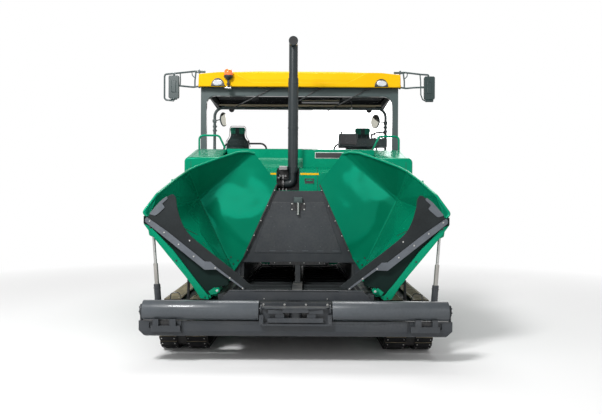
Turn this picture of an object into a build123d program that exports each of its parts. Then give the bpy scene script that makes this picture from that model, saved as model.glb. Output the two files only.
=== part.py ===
from build123d import *
import os
from math import sin, cos, radians, hypot

os.makedirs("parts", exist_ok=True)

# ---------------------------------------------------------------- driving sizes (mm)
# Tracked asphalt paver, 3 m transport width.  +Z up, the front looks along -Y, X is across.
# The origin is on the ground, in the middle of the plan.  A "station" s is the distance
# rearward from the faces of the push rollers.
LENGTH = 6900
FRONT = -LENGTH / 2
HALF_WIDTH = 1500
MIRROR_HALF = 2008
STACK_TOP = 3810

HINGE_X, HINGE_Z = 825, 620          # hopper wing hinge, along Y
WING_T = 14                          # wing plate thickness
PUSH_PIVOT_S = 240                   # swivel of the push beam
ROLLER_R, ROLLER_Z, ROLLER_S = 95, 482, 95
TRACK_X0, TRACK_X1, TRACK_T = 940, 1450, 92
SPROCKET_S, SPROCKET_Z = 4200, 312
LINK = 1450                          # roof links, pivot to pivot
PORTAL_S, PORTAL_Z = 3230, 1850      # lower pivot of the windscreen portal
HOOP_S, HOOP_Z = 4620, 1780          # lower pivot of the rear hoop
TOW_S, TOW_Z = 2450, 745             # tow point of the screed arms
LIFT_S, LIFT_Z, LIFT_X = 5215, 1480, 1180
LIFT_ROD_S, LIFT_ROD_Z = 5700, 700
CYL_S, CYL_X, CYL_Z = 460, 1416, 218       # foot pin of a wing cylinder
ROD_X, ROD_Z = 1490, 1215                  # its rod eye
AUGER_S, AUGER_Z, AUGER_R = 5175, 430, 200
DOOR_S, DOOR_X = 2950, 1507                # hinge of the hood's side door


def Y(s):
    return FRONT + s


def box(x0, x1, s0, s1, z0, z1):
    return Pos((x0 + x1) / 2, Y((s0 + s1) / 2), (z0 + z1) / 2) * Box(abs(x1 - x0), abs(s1 - s0), abs(z1 - z0))


def face(points):
    return Face(Wire.make_polygon([Vector(*p) for p in points], close=True))


def across(profile, x0, x1):
    """Side profile of (s, z) corners, swept along X."""
    return Solid.extrude(face([(x0, Y(s), z) for s, z in profile]), Vector(x1 - x0, 0, 0))


def along(profile, s0, s1):
    """Front profile of (x, z) corners, swept along Y."""
    return Solid.extrude(face([(x, Y(s0), z) for x, z in profile]), Vector(0, s1 - s0, 0))


def upright(profile, z0, z1):
    """Plan of (x, s) corners, raised from z0 to z1."""
    return Solid.extrude(face([(x, Y(s), z0) for x, s in profile]), Vector(0, 0, z1 - z0))


def rod(a, b, r):
    """Round bar between two (x, s, z) points."""
    p, q = Vector(a[0], Y(a[1]), a[2]), Vector(b[0], Y(b[1]), b[2])
    return Solid.make_cylinder(r, (q - p).length, Plane(origin=p, z_dir=q - p))


def pipe(points, r, bend):
    """Round tube, solid, along straight runs joined by arcs."""
    line = FilletPolyline(*[(x, Y(s), z) for x, s, z in points], radius=bend)
    return sweep(Plane(origin=line @ 0, z_dir=line % 0) * Circle(r), path=line)


def fuse(*things):
    out = things[0]
    for t in things[1:]:
        out = out + t
    return out


def flip(thing):
    return thing.mirror(Plane.YZ)


RIDE = 50.0          # the lower run of the tracks reaches this far below the working datum z = 0


def save(name, *things):
    solids = []
    for t in things:
        solids += list(t.solids())
    solids = [t.moved(Location((0, 0, RIDE))) for t in solids]
    c = Compound(children=solids) if len(solids) > 1 else solids[0]
    c.label = name
    export_step(c, f"parts/{name}.step")


def pair(name, thing):
    """Right-hand piece, and its mirror image for the left."""
    save(name + "_right", thing)
    save(name + "_left", flip(thing))


# ---------------------------------------------------------------- main frame
frame = None
for side in (1, -1):
    plate = across([(310, 300), (310, 600), (2002, 600), (2002, 1000), (4960, 1000), (4960, 300), (4600, 230), (700, 230)],
                   700, 740)
    sill = box(740, 795, 330, 1960, 548, 606)
    knuckles = fuse(*[rod((HINGE_X, a, HINGE_Z), (HINGE_X, b, HINGE_Z), 24) + box(790, 822, a, b, 560, 600)
                      for a, b in ((720, 900), (1370, 1550))])
    pin = rod((HINGE_X, 480, HINGE_Z), (HINGE_X, 1940, HINGE_Z), 14)
    # wing cylinder outrigger: beam, two cheeks and the foot pin
    outrigger = (box(740, 1371, 426, 494, 190, 275) + box(1361, 1456, 422, 436, 175, 263) + box(1361, 1456, 484, 498, 175, 263)
                 + box(1356, 1373, 422, 498, 175, 263) + rod((CYL_X, 422, CYL_Z), (CYL_X, 498, CYL_Z), 14)
                 + box(700, 745, 426, 494, 190, 320))
    tubes = fuse(*[box(740, 1085, s - 90, s + 90, 250, 350) for s in (1500, 3300)])
    drive = rod((740, SPROCKET_S, SPROCKET_Z), (1146, SPROCKET_S, SPROCKET_Z), 125)
    tow = (box(740, 1296, 2390, 2510, 700, 900) + box(1270, 1296, 2400, 2500, 690, 1000)
           + rod((1296, TOW_S, TOW_Z), (1432, TOW_S, TOW_Z), 22) + box(1410, 1432, 2400, 2500, 690, 1000)
           + box(1270, 1432, 2400, 2500, 960, 1000))
    half = fuse(plate, sill, knuckles, pin, outrigger, tubes, drive, tow)
    if side < 0:
        half = flip(half)
    frame = half if frame is None else frame + half
cross = fuse(
    box(-705, 705, 318, 334, 230, 460),            # front plate under the hopper
    box(-705, 705, 1985, 2000, 232, 454),
    box(-705, 705, 3500, 3516, 232, 454),
    box(-705, 705, 4940, 4956, 290, 454),
    box(-705, 705, 2001, 4960, 786, 802),          # roof of the tunnels
)
# push beam pivot: two lugs and a pin
pivot = (box(-90, 90, PUSH_PIVOT_S - 50, 318, 236, 256) + box(-90, 90, PUSH_PIVOT_S - 50, 318, 520, 540)
         + box(-90, 90, 302, 318, 236, 540) + rod((0, PUSH_PIVOT_S, 236), (0, PUSH_PIVOT_S, 540), 26))
frame = fuse(frame, cross)
save("main_frame", frame, pivot)

# ---------------------------------------------------------------- hopper floor, tunnels, conveyors
floor = box(-700, 700, 336, 4938, 455, 470) + box(-33, 33, 1985, 4938, 470, 786) + box(-60, 60, 345, 1985, 470, 540)
floor = floor + flip(box(684, 700, 345, 4938, 470, 540)) + box(684, 700, 345, 4938, 470, 540)
save("conveyor_floor", floor)
belt = box(66, 678, 345, 4936, 471, 500)
save("conveyors", belt, flip(belt))

wall = along([(-850, 786), (-850, 1240), (-640, 1715), (640, 1715), (850, 1240), (850, 786)], 1986, 2000)
wall = wall + along([(-566, 911), (-335, 1566), (335, 1566), (566, 911)], 1980, 1986)       # raised panel
wall = wall + box(741, 850, 1986, 2000, 606, 790) + box(-850, -741, 1986, 2000, 606, 790)
wall = wall + along([(-640, 1700), (-640, 1715), (640, 1715), (640, 1700)], 2000, 2078)       # top flange
save("hopper_rear_wall", wall)

apron = along([(-684, 643), (684, 643), (766, 547), (-766, 547)], 296, 310) + box(-640, 640, 310, 330, 560, 600)
save("front_apron", apron)


# ---------------------------------------------------------------- tracks
# wheels that give the loop its outline: station, height, outer radius of the loop
TRACK_WHEELS = [(790, 222, 272), (3760, 140, 190), (SPROCKET_S, SPROCKET_Z, 262)]


def hull(circles, x0, x1):
    """Closed loop drawn tight round circles, in side view."""
    n = len(circles)
    out = None
    edges_top = []
    from math import atan2, acos, pi
    # circles are listed counter-clockwise seen from +X; external tangents join neighbours
    tang = []
    for i in range(n):
        (a, b, r), (c, d, q) = circles[i], circles[(i + 1) % n]
        dist = hypot(c - a, d - b)
        base = atan2(d - b, c - a)
        off = -acos((r - q) / dist)
        th = base + off
        tang.append(((a + r * cos(th), b + r * sin(th)), (c + q * cos(th), d + q * sin(th)), th))
    edges = []
    for i in range(n):
        p, q, th = tang[i]
        edges.append(Edge.make_line((x0, Y(p[0]), p[1]), (x0, Y(q[0]), q[1])))
        a, b, r = circles[(i + 1) % n]
        nxt = tang[(i + 1) % n]
        t1 = nxt[2]
        while t1 < th:
            t1 += 2 * pi
        mid = (th + t1) / 2
        m = (a + r * cos(mid), b + r * sin(mid))
        e = nxt[0]
        edges.append(Edge.make_three_point_arc((x0, Y(q[0]), q[1]), (x0, Y(m[0]), m[1]), (x0, Y(e[0]), e[1])))
    return Solid.extrude(Face(Wire(edges)), Vector(x1 - x0, 0, 0))


outer = hull(TRACK_WHEELS, TRACK_X0, TRACK_X1)
inner = hull([(s, z, r - TRACK_T) for s, z, r in TRACK_WHEELS], TRACK_X0 - 10, TRACK_X1 + 10)
pair("track", outer - inner)

side_plate = [(790, 140), (3800, 140), (3880, 220), (3880, 350), (3600, 380), (1100, 300), (790, 280)]
tf = across(side_plate, 1085, 1105) + across(side_plate, 1285, 1305)
tf = tf + box(1100, 1290, 1300, 3560, 272, 296)
# rolling wheels inside the loop: station, height, radius
for s, z, r in [(790, 222, 176), (3760, 140, 94)] + [(1240 + 360 * i, 126, 80) for i in range(7)]:
    tf = tf + rod((1110, s, z), (1280, s, z), r) + rod((1090, s, z), (1300, s, z), 34)
for s in (1700, 2900):                                       # carrier rollers under the top run
    z = 402 + (s - 790) * 0.0234 - 50
    tf = tf + rod((1110, s, z), (1280, s, z), 45) + rod((1090, s, z), (1300, s, z), 22)
    tf = tf + box(1086, 1104, s - 60, s + 60, 270, z + 30) + box(1286, 1304, s - 60, s + 60, 270, z + 30)
sprocket = (rod((1150, SPROCKET_S, SPROCKET_Z), (1240, SPROCKET_S, SPROCKET_Z), 164)
            + rod((1240, SPROCKET_S, SPROCKET_Z), (1330, SPROCKET_S, SPROCKET_Z), 112))
save("track_frame_right", tf, sprocket)
save("track_frame_left", flip(tf), flip(sprocket))

# ---------------------------------------------------------------- engine, hood, exhaust
save("engine_block", box(-520, 520, 2450, 3030, 850, 1640))

HOOD_T = 20
centre = across([(2100, 1050), (2100, 1955), (2450, 2053), (2700, 2200), (2760, 2335), (3050, 2335), (3050, 1050)],
                -1040, 1040)
centre_in = across([(2120, 1040), (2120, 1938), (2458, 2033), (2715, 2185), (2775, 2315), (3030, 2315), (3030, 1040)],
                   -1060, 1060)
sidebox = across([(2080, 1050), (2080, 2150), (2800, 2330), (3050, 2330), (3050, 1050)], 1030, HALF_WIDTH)
sidebox_in = across([(2100, 1040), (2100, 2134), (2796, 2310), (3030, 2310), (3030, 1040)], 1020, HALF_WIDTH - HOOD_T)
outer_edges = [e for e in sidebox.edges() if e.center().X > HALF_WIDTH - 1 and e.center().Z > 2140
               and e.center().Y < Y(3040)]
sidebox = sidebox.fillet(62, outer_edges)
in_edges = [e for e in sidebox_in.edges() if e.center().X > HALF_WIDTH - HOOD_T - 1 and e.center().Z > 2120
            and e.center().Y < Y(3020)]
sidebox_in = sidebox_in.fillet(46, in_edges)
front_edges = [e for e in sidebox.edges() if abs(e.center().Y - Y(2080)) < 1 and e.center().X > HALF_WIDTH - 1]
try:
    sidebox = sidebox.fillet(30, front_edges)
except Exception:
    pass
intake = across([(2444, 2040), (2450, 2296), (2765, 2335), (2765, 2040)], 54, 1032)          # upright box on the right
intake_in = across([(2464, 2020), (2470, 2278), (2785, 2317), (2785, 2020)], 74, 1032)
hood = fuse(centre, intake, sidebox, flip(sidebox)) - fuse(centre_in, intake_in, sidebox_in, flip(sidebox_in))
hood = hood - box(-288, 12, 2060, 2430, 1722, 2400)           # recess for the silencer and stack
recess = (box(-300, -288, 2100, 2440, 1700, 1990) - rod((-400, 2300, 1820), (-200, 2300, 1820), 128)
          + box(12, 24, 2100, 2440, 1700, 1990) + box(-300, 24, 2430, 2442, 1700, 2046)
          + box(-300, 24, 2101, 2440, 1700, 1716))
hood = hood + (recess & (centre - centre_in + centre_in))
door_cut = box(1470, 1520, 2190, 2944, 1130, 2070)
hood = hood - door_cut - flip(door_cut)
save("hood", hood)

door = box(1482, 1500, 2196, 2938, 1136, 2064)
for z in (1300, 1880):                                        # hinge straps and barrels
    door = door + box(1500, 1507, 2860, DOOR_S, z - 25, z + 25) + rod((DOOR_X, DOOR_S, z - 25), (DOOR_X, DOOR_S, z + 25), 7)
pair("side_door", door)

save("muffler", rod((-830, 2300, 1820), (-240, 2300, 1820), 100) + rod((-240, 2300, 1820), (-214, 2300, 1820), 72))
stack = pipe([(-212, 2300, 1820), (-77, 2300, 1820), (-77, 2300, 3712), (-77, 2160, 3712)], 60, (95, 80))
stack = stack + rod((-77, 2300, 1960), (-77, 2300, 3240), 68)
stack = stack - rod((-77, 2290, 3712), (-77, 2100, 3712), 54)
save("exhaust_pipe", stack)

# ---------------------------------------------------------------- rear body, tanks, deck
save("rear_body", box(-690, 690, 3100, 4950, 806, 1655))
tank = along([(905, 850), (1288, 850), (1288, 1260), (1448, 1260), (1448, 1655), (905, 1655)], 3100, 5150)
save("side_tanks", tank, flip(tank))

deck = box(-1460, 1460, 3070, 5250, 1658, 1700) + box(-1440, 1440, 3062, 3082, 1700, 2300)
deck = deck + box(-1440, 1440, 5160, 5250, 1560, 1658)
for side in (1, -1):
    lug = (box(1130, 1152, 5170, 5250, 1448, 1560) + box(1208, 1230, 5170, 5250, 1448, 1560)
           + rod((1130, LIFT_S, LIFT_Z), (1230, LIFT_S, LIFT_Z), 15)
           # lower pivots of the windscreen portal and of the rear hoop
           + box(1340, 1376, PORTAL_S - 45, PORTAL_S + 45, 1700, 1900) + rod((1376, PORTAL_S, PORTAL_Z), (1478, PORTAL_S, PORTAL_Z), 15)
           + box(1418, 1440, HOOP_S - 50, HOOP_S + 50, 1700, 1830) + rod((1440, HOOP_S, HOOP_Z), (1512, HOOP_S, HOOP_Z), 14))
    deck = deck + (lug if side > 0 else flip(lug))
save("operator_deck", deck)

# seats: pedestals, cushions and backs, by the side of the deck they stand on
SEAT_X, SEAT_S0, SEAT_S1 = 1100, 4330, 4850
ped = (box(SEAT_X - 170, SEAT_X + 170, SEAT_S0 + 40, SEAT_S1 - 60, 1700, 2070)
       + box(SEAT_X - 235, SEAT_X + 235, SEAT_S0, SEAT_S1, 2070, 2098) + box(SEAT_X - 200, SEAT_X + 200, SEAT_S1 + 22, SEAT_S1 + 50, 2000, 2700)
       + box(SEAT_X - 100, SEAT_X + 100, SEAT_S1 - 100, SEAT_S1 + 40, 2020, 2070))
save("seat_pedestals", ped, flip(ped))
cush = box(SEAT_X - 235, SEAT_X + 235, SEAT_S0 - 10, SEAT_S1 - 110, 2100, 2220)
save("seat_cushions", cush, flip(cush))
half = [(235, 2160), (235, 2580), (212, 2690), (166, 2750), (156, 2800), (154, 2905), (128, 2955)]
back = along([(SEAT_X + u, v) for u, v in half] + [(SEAT_X - u, v) for u, v in reversed(half)], SEAT_S1 - 100, SEAT_S1 + 20)
save("seat_backs", back, flip(back))

console = (box(640, 950, 4020, 4300, 2490, 2720) + box(950, 1440, 4060, 4290, 2500, 2650) + box(760, 860, 4100, 4220, 1700, 2490))
save("operator_console", console)

rail = pipe([(1433, 2830, 2332), (1433, 2830, 2530), (1150, 2830, 2530), (1060, 2830, 2345)], 14, (60, 60))
# the rail's outer foot stands on the sloping box, its inner foot on the hood
save("handrails", rail, flip(rail))

rails = None
for side in (1, -1):
    r = pipe([(620, 5225, 1702), (620, 5225, 2680), (1400, 5225, 2680), (1400, 5225, 1702)], 17, (110, 110))
    r = r + rod((620, 5225, 2200), (1400, 5225, 2200), 14)
    st = box(300, 318, 5252, 5330, 1120, 1650)
    r = [r, st] if side > 0 else [flip(r), flip(st)]
    rails = r if rails is None else rails + r
rungs = fuse(*[box(-300, 300, 5256, 5326, z, z + 24) for z in (1130, 1390, 1626)])
save("deck_rails", rails[0], rails[2], fuse(rungs, rails[1], rails[3]))

case = box(-44, 44, 5000, 5230, 240, 785) + rod((-56, AUGER_S, AUGER_Z), (56, AUGER_S, AUGER_Z), 120)
case = case + box(-400, 400, 4974, 5040, 690, 785) + box(-690, 690, 4962, 4974, 640, 785)       # limits the height of the mix
save("auger_case", case)

# ---------------------------------------------------------------- push beam and rollers
beam = across([(60, 282), (60, 380), (168, 380), (168, 240), (96, 226), (72, 240)], -1535, 1535)
beam = beam & along([(-1530, 290), (-1530, 390), (1530, 390), (1530, 290), (1462, 215), (-1462, 215)], 0, 400)
# centre bracket between the rollers: stacked plates round an upright pivot in a recess
block = fuse(
    box(-330, 330, 62, 168, 330, 505), box(-352, 352, 150, 168, 380, 548),
    upright([(-300, 26), (-150, 8), (150, 8), (300, 26), (330, 62), (330, 160), (-330, 160), (-330, 62)], 505, 517),
    box(-124, 124, 12, 64, 471, 506),
    box(-268, -124, 24, 64, 459, 497), box(124, 268, 24, 64, 459, 497),
    box(-196, -111, 32, 64, 417, 460), box(111, 196, 32, 64, 417, 460),
    box(-270, 270, 18, 64, 375, 417), box(-324, 324, 10, 64, 343, 362), box(-324, 324, 44, 64, 360, 376),
    box(-352, -311, 12, 64, 348, 449), box(311, 352, 12, 64, 348, 449),
)
block = block - box(-111, 111, 60, 112, 417, 471) + rod((0, 104, 410), (0, 104, 480), 62)
ends = None
for x0 in (-1518, -346, 332, 1504):
    e = box(x0, x0 + 14, 66, 124, 370, 525) + rod((x0, ROLLER_S, ROLLER_Z), (x0 + 14, ROLLER_S, ROLLER_Z), 58)
    ends = e if ends is None else ends + e
# tie-down block with an upright bore, between two guard lugs, at both ends
TIE_X, TIE_S, TIE_R = 1272, 37, 13
lug_side = [(14, 337), (14, 406), (30, 395), (64, 382), (64, 337)]
ties = None
for side in (1, -1):
    t = fuse(across(lug_side, 1160, 1220), across(lug_side, 1328, 1380), box(1118, 1400, 14, 64, 281, 338))
    t = t - rod((TIE_X, TIE_S, 270), (TIE_X, TIE_S, 350), TIE_R)
    t = t if side > 0 else flip(t)
    ties = t if ties is None else ties + t
barrel = rod((0, PUSH_PIVOT_S, 262), (0, PUSH_PIVOT_S, 514), 58) + box(-70, 70, 160, 225, 262, 514)
beam = fuse(beam, block, ends, ties, barrel) - rod((0, PUSH_PIVOT_S, 200), (0, PUSH_PIVOT_S, 600), 27.5)
for side in (1, -1):
    a, b = sorted((side * 325, side * 1540))
    beam = beam - rod((a, ROLLER_S, ROLLER_Z), (b, ROLLER_S, ROLLER_Z), 27.5)
    slot = box(1387, 1429, 50, 78, 303, 370)
    slot = slot.fillet(18, slot.edges().filter_by(Axis.Y)) + box(1090, 1116, 50, 72, 262, 385)
    beam = beam - (slot if side > 0 else flip(slot))
save("push_beam", beam)
roller = rod((360, ROLLER_S, ROLLER_Z), (1490, ROLLER_S, ROLLER_Z), ROLLER_R) + rod((334, ROLLER_S, ROLLER_Z), (1517, ROLLER_S, ROLLER_Z), 26)
pair("push_roller", roller)

# ---------------------------------------------------------------- hopper wings (right-hand, folded)
# corners of the wing's inner face: name, x, s, z
WING = {
    "A": (1548, 430, 1390), "B": (700, 430, 770), "J": (806, 430, 668), "H": (825, 1950, 672), "M": (1129, 1200, 1202),
    "P": (1272, 1950, 1602), "K": (702, 1950, 854), "C": (273, 1950, 1810), "T": (562, 1950, 2190),
    "r1": (1590, 430, 1432), "r2": (1471, 526, 1625), "r3": (1393, 953, 1785), "Q": (1317, 1440, 1937),
    "q2": (1228, 1550, 1998), "q3": (1011, 1700, 2100), "q4": (772, 1840, 2195), "q5": (649, 1910, 2210),
}
# triangles of the inner face, by corner
WING_FACES = ["B J H", "B H M", "A B M", "A M P", "P M H", "P H K", "P K C", "P C T",
              "A P r2", "A r2 r1", "P r3 r2", "P Q r3", "P q2 Q", "P q3 q2", "P q4 q3", "P q5 q4", "P T q5"]
# the free edge, in order
WING_EDGE = ["B", "A", "r1", "r2", "r3", "Q", "q2", "q3", "q4", "q5", "T", "C", "K", "H", "J"]
MIDDLE = Vector(600, Y(1000), 1500)


def wing_shell(t):
    pts = {k: Vector(x, Y(s), z) for k, (x, s, z) in WING.items()}
    normals = {k: [] for k in pts}
    tris = []
    for tri in WING_FACES:
        names = tri.split()
        a, b, c = [pts[n] for n in names]
        n = (b - a).cross(c - a).normalized()
        if n.dot(MIDDLE - a) > 0:
            n = n * -1
            names = [names[0], names[2], names[1]]
        tris.append(names)
        for k in names:
            if all((n - m).length > 0.02 for m in normals[k]):
                normals[k].append(n)
    back = {}
    for k, ns in normals.items():
        avg = Vector(0, 0, 0)
        for n in ns:
            avg += n
        avg = avg.normalized()
        worst = min(avg.dot(n) for n in ns)
        back[k] = pts[k] + avg * (t / max(worst, 0.6))
    faces = []
    for a, b, c in tris:
        faces.append(face([tuple(pts[a]), tuple(pts[b]), tuple(pts[c])]))
        faces.append(face([tuple(back[a]), tuple(back[c]), tuple(back[b])]))
    for i, k in enumerate(WING_EDGE):
        m = WING_EDGE[(i + 1) % len(WING_EDGE)]
        faces.append(face([tuple(pts[k]), tuple(back[m]), tuple(pts[m])]))
        faces.append(face([tuple(pts[k]), tuple(back[k]), tuple(back[m])]))
    return Solid(Shell(faces))


pair("hopper_wing", wing_shell(WING_T))

rib = along([(1572, 1316), (1477, 1187), (1312, 990), (1280, 975), (1140, 795), (984, 552), (897, 541), (905, 585),
             (1007, 709), (1273, 1053), (1508, 1296)], 375, 416)
plate = along([(1580, 1396), (1580, 1320), (1500, 1262), (1273, 1053), (1007, 709), (905, 585), (868, 585), (840, 660), (700, 690),
               (700, 768), (1533, 1388)], 404, 418)
torque = box(880, 930, 404, 1935, 548, 588)
hooks = fuse(*[rod((HINGE_X, a, HINGE_Z), (HINGE_X, b, HINGE_Z), 24) + box(826, 900, a + 5, b - 5, 560, 588)
               + box(826, 848, a + 5, b - 5, 588, 640)
               for a, b in ((500, 700), (1050, 1250), (1740, 1900))])
LUG = [(1450, 1195), (1490, 1180), (1524, 1198), (1532, 1244), (1512, 1262), (1450, 1262)]
lug = (along(LUG, 414, 436) + along(LUG, 484, 494) + box(1450, 1512, 430, 494, 1249, 1262)
       + rod((ROD_X, 430, ROD_Z), (ROD_X, 494, ROD_Z), 11))
wf = fuse(rib, plate, torque, hooks, lug)
wf = wf - rod((HINGE_X, 400, HINGE_Z), (HINGE_X, 1990, HINGE_Z), 15.2)
pair("wing_frame", wf)

FLAP = [(1492, 1437), (1283, 1640), (1236, 1589), (1231, 1506), (1199, 1381), (1148, 1267), (1075, 1183), (920, 1059),
        (733, 914), (624, 830), (442, 675), (546, 653), (1533, 1375)]
pair("wing_flap", along(FLAP, 362, 374))


# ---------------------------------------------------------------- cylinders
def unit(a, b):
    d = (b[0] - a[0], b[1] - a[1], b[2] - a[2])
    n = (d[0] ** 2 + d[1] ** 2 + d[2] ** 2) ** 0.5
    return (d[0] / n, d[1] / n, d[2] / n), n


def at(a, u, t):
    return (a[0] + u[0] * t, a[1] + u[1] * t, a[2] + u[2] * t)


foot, eye = (CYL_X, CYL_S, CYL_Z), (ROD_X, CYL_S, ROD_Z)
u, n = unit(foot, eye)
wb = rod(at(foot, u, 20), at(foot, u, 62), 20) + rod(at(foot, u, 56), at(foot, u, 462), 32) + rod(at(foot, u, 462), at(foot, u, 690), 24)
wb = wb + rod((CYL_X, 440, CYL_Z), (CYL_X, 480, CYL_Z), 34)
wb = wb - rod(at(foot, u, 60), at(foot, u, 700), 17.5) - rod((CYL_X, 430, CYL_Z), (CYL_X, 490, CYL_Z), 15.5)
pair("wing_barrel", wb)
wr = rod(at(foot, u, 340), at(foot, u, n - 20), 15.5) + rod((ROD_X, 444, ROD_Z), (ROD_X, 476, ROD_Z), 27)
wr = wr - rod((ROD_X, 440, ROD_Z), (ROD_X, 480, ROD_Z), 18)
pair("wing_rod", wr)

foot, eye = (LIFT_X, LIFT_S, LIFT_Z), (LIFT_X, LIFT_ROD_S, LIFT_ROD_Z)
u, n = unit(foot, eye)
lb = rod(at(foot, u, 20), at(foot, u, 96), 20) + rod(at(foot, u, 92), at(foot, u, 520), 45) + rod((1160, LIFT_S, LIFT_Z), (1200, LIFT_S, LIFT_Z), 36)
lb = lb - rod(at(foot, u, 120), at(foot, u, 600), 27) - rod((1150, LIFT_S, LIFT_Z), (1210, LIFT_S, LIFT_Z), 16.5)
save("lift_barrels", lb, flip(lb))
lr = rod(at(foot, u, 425), at(foot, u, n - 20), 19) + rod((1164, LIFT_ROD_S, LIFT_ROD_Z), (1196, LIFT_ROD_S, LIFT_ROD_Z), 42)
lr = lr - rod((1150, LIFT_ROD_S, LIFT_ROD_Z), (1210, LIFT_ROD_S, LIFT_ROD_Z), 31)
save("lift_rods", lr, flip(lr))

# ---------------------------------------------------------------- weather roof
portal = along([(-1476, 1790), (-1476, 3290), (1476, 3290), (1476, 1790), (1394, 1790), (1394, 3172), (-1394, 3172), (-1394, 1790)],
               PORTAL_S - 40, PORTAL_S + 40)
corner = [e for e in portal.edges().filter_by(Axis.Y) if abs(e.center().Z - 3172) < 1]
portal = portal.fillet(130, corner)
portal = portal + box(-1394, 1394, PORTAL_S - 30, PORTAL_S + 30, 2318, 2360)
portal = portal - rod((-1490, PORTAL_S, PORTAL_Z), (1490, PORTAL_S, PORTAL_Z), 16.5)
ROOF_PIN_Z = PORTAL_Z + LINK
for side in (1, -1):                                         # ears that carry the roof
    ear = (rod((1408, PORTAL_S, ROOF_PIN_Z), (1438, PORTAL_S, ROOF_PIN_Z), 15) + box(1408, 1438, PORTAL_S - 15, PORTAL_S + 15, 3280, ROOF_PIN_Z)
           - rod((1400, PORTAL_S, ROOF_PIN_Z), (1450, PORTAL_S, ROOF_PIN_Z), 8.5))
    portal = portal + (ear if side > 0 else flip(ear))
save("windscreen_frame", portal)
glass = box(-1392, 1392, PORTAL_S - 4, PORTAL_S + 4, 2362, 3170)
glass = glass.fillet(130, [e for e in glass.edges().filter_by(Axis.Y) if e.center().Z > 3100])
save("windscreen_glass", glass)

hoop = pipe([(-1480, HOOP_S, HOOP_Z), (-1480, HOOP_S, HOOP_Z + LINK), (1480, HOOP_S, HOOP_Z + LINK), (1480, HOOP_S, HOOP_Z)], 25, (150, 150))
hoop = hoop + rod((-1500, HOOP_S, HOOP_Z), (-1450, HOOP_S, HOOP_Z), 34) + rod((1450, HOOP_S, HOOP_Z), (1500, HOOP_S, HOOP_Z), 34)
hoop = hoop - rod((-1600, HOOP_S, HOOP_Z), (-1400, HOOP_S, HOOP_Z), 15.5) - rod((1400, HOOP_S, HOOP_Z), (1600, HOOP_S, HOOP_Z), 15.5)
save("rear_hoop", hoop)

roof = across([(3160, 3312), (3152, 3282), (3090, 3282), (3094, 3400), (3130, 3500), (3230, 3546), (4900, 3500), (5030, 3420), (5050, 3272), (4400, 3300)], -1496, 1496)
crown = along([(-1496, 3200), (-1496, 3478), (-1200, 3510), (-600, 3546), (600, 3546), (1200, 3510), (1496, 3478), (1496, 3200)], 3000, 5100)
roof = roof & crown
hollow = across([(3120, 3100), (3120, 3400), (3154, 3478), (3240, 3516), (4890, 3472), (5008, 3400), (5020, 3100)], -1468, 1468)
hollow = hollow & along([(-1468, 3100), (-1468, 3450), (-1195, 3482), (-600, 3518), (600, 3518), (1195, 3482), (1468, 3450), (1468, 3100)],
                        3000, 5100)
roof = roof - hollow
for side in (1, -1):                                         # hinge plates under the roof
    hang = (rod((1402, PORTAL_S, ROOF_PIN_Z), (1458, PORTAL_S, ROOF_PIN_Z), 8)
            + across([(3222, 3300), (3238, 3300), (3290, 3410), (3290, 3462), (3170, 3462), (3170, 3410)], 1444, 1458))
    roof = roof + (hang if side > 0 else flip(hang))
save("roof_canopy", roof)

mirrors = []
for side in (1, -1):
    out = 55 if side > 0 else 0                              # the right-hand head hangs further out
    m = box(1775 + out, 1935 + out, 3050, 3110, 3096, 3448)
    m = m.fillet(28, m.edges().filter_by(Axis.Y))
    arm = (pipe([(1498, 3140, 3520), (1530, 3140, 3520), (1835, 3085, 3462), (MIRROR_HALF - 12, 3085, 3440), (MIRROR_HALF - 12, 3085, 3110), (1855, 3085, 3078)], 12,
                (30, 60, 40, 40))
           + rod((1498, 3140, 3290), (1835, 3085, 3290), 11) + rod((1560, 3132, 3290), (1560, 3132, 3512), 10)
           + rod((1855, 3085, 3078), (1855, 3085, 3110), 12) + rod((1855, 3085, 3430), (1855, 3085, 3460), 14))
    m = m + arm
    mirrors.append(m if side > 0 else flip(m))
save("roof_mirrors", *mirrors)

beacon = fuse(rod((-1060, 3024, 3346), (-1060, 3024, 3505), 62), rod((-1060, 3024, 3250), (-1060, 3024, 3346), 14),
              box(-1100, -1020, 3006, 3086, 3244, 3256), box(-1080, -1040, 3076, 3088, 3244, 3330))
lens = box(1175, 1273, 3078, 3089, 3318, 3378)
lens = lens.fillet(28, lens.edges().filter_by(Axis.Y))
save("roof_lamps", beacon, lens, flip(lens))

# ---------------------------------------------------------------- screed
arm = across([(2372, 690), (2372, 800), (2560, 920), (5330, 920), (5760, 690), (5760, 500), (5440, 500), (5440, 640), (5300, 790),
              (2700, 790), (2540, 690)], 1320, 1390)
arm = arm - rod((1300, TOW_S, TOW_Z), (1420, TOW_S, TOW_Z), 23.5)
save("tow_arms", arm, flip(arm))

sf = box(-1500, 1500, 5420, 6060, 0, 470) - box(-1480, 1480, 5440, 6040, 60, 450)
sf = sf + box(-1500, 1500, 5400, 5420, 40, 500)
for side in (1, -1):
    ears = (box(1316, 1394, 5450, 5800, 470, 498) + box(1138, 1156, 5640, 5760, 470, 760) + box(1204, 1222, 5640, 5760, 470, 760)
            + rod((1138, LIFT_ROD_S, LIFT_ROD_Z), (1222, LIFT_ROD_S, LIFT_ROD_Z), 13))
    sf = sf + (ears if side > 0 else flip(ears))
# guide tubes of the extensions: right-hand one low, left-hand one high
GUIDE_R = 62
for side, z in ((1, 150), (-1, 330)):
    a, b = sorted((side * -1440, side * 1500))
    g = rod((a, 6130, z), (b, 6130, z), 78) + box(a, b, 6050, 6100, z - 40, z + 40)
    sf = sf + g
for side, z in ((1, 150), (-1, 330)):
    sf = sf - rod((-1600, 6130, z), (1600, 6130, z), GUIDE_R + 2)
save("screed_frame", sf)

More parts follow.
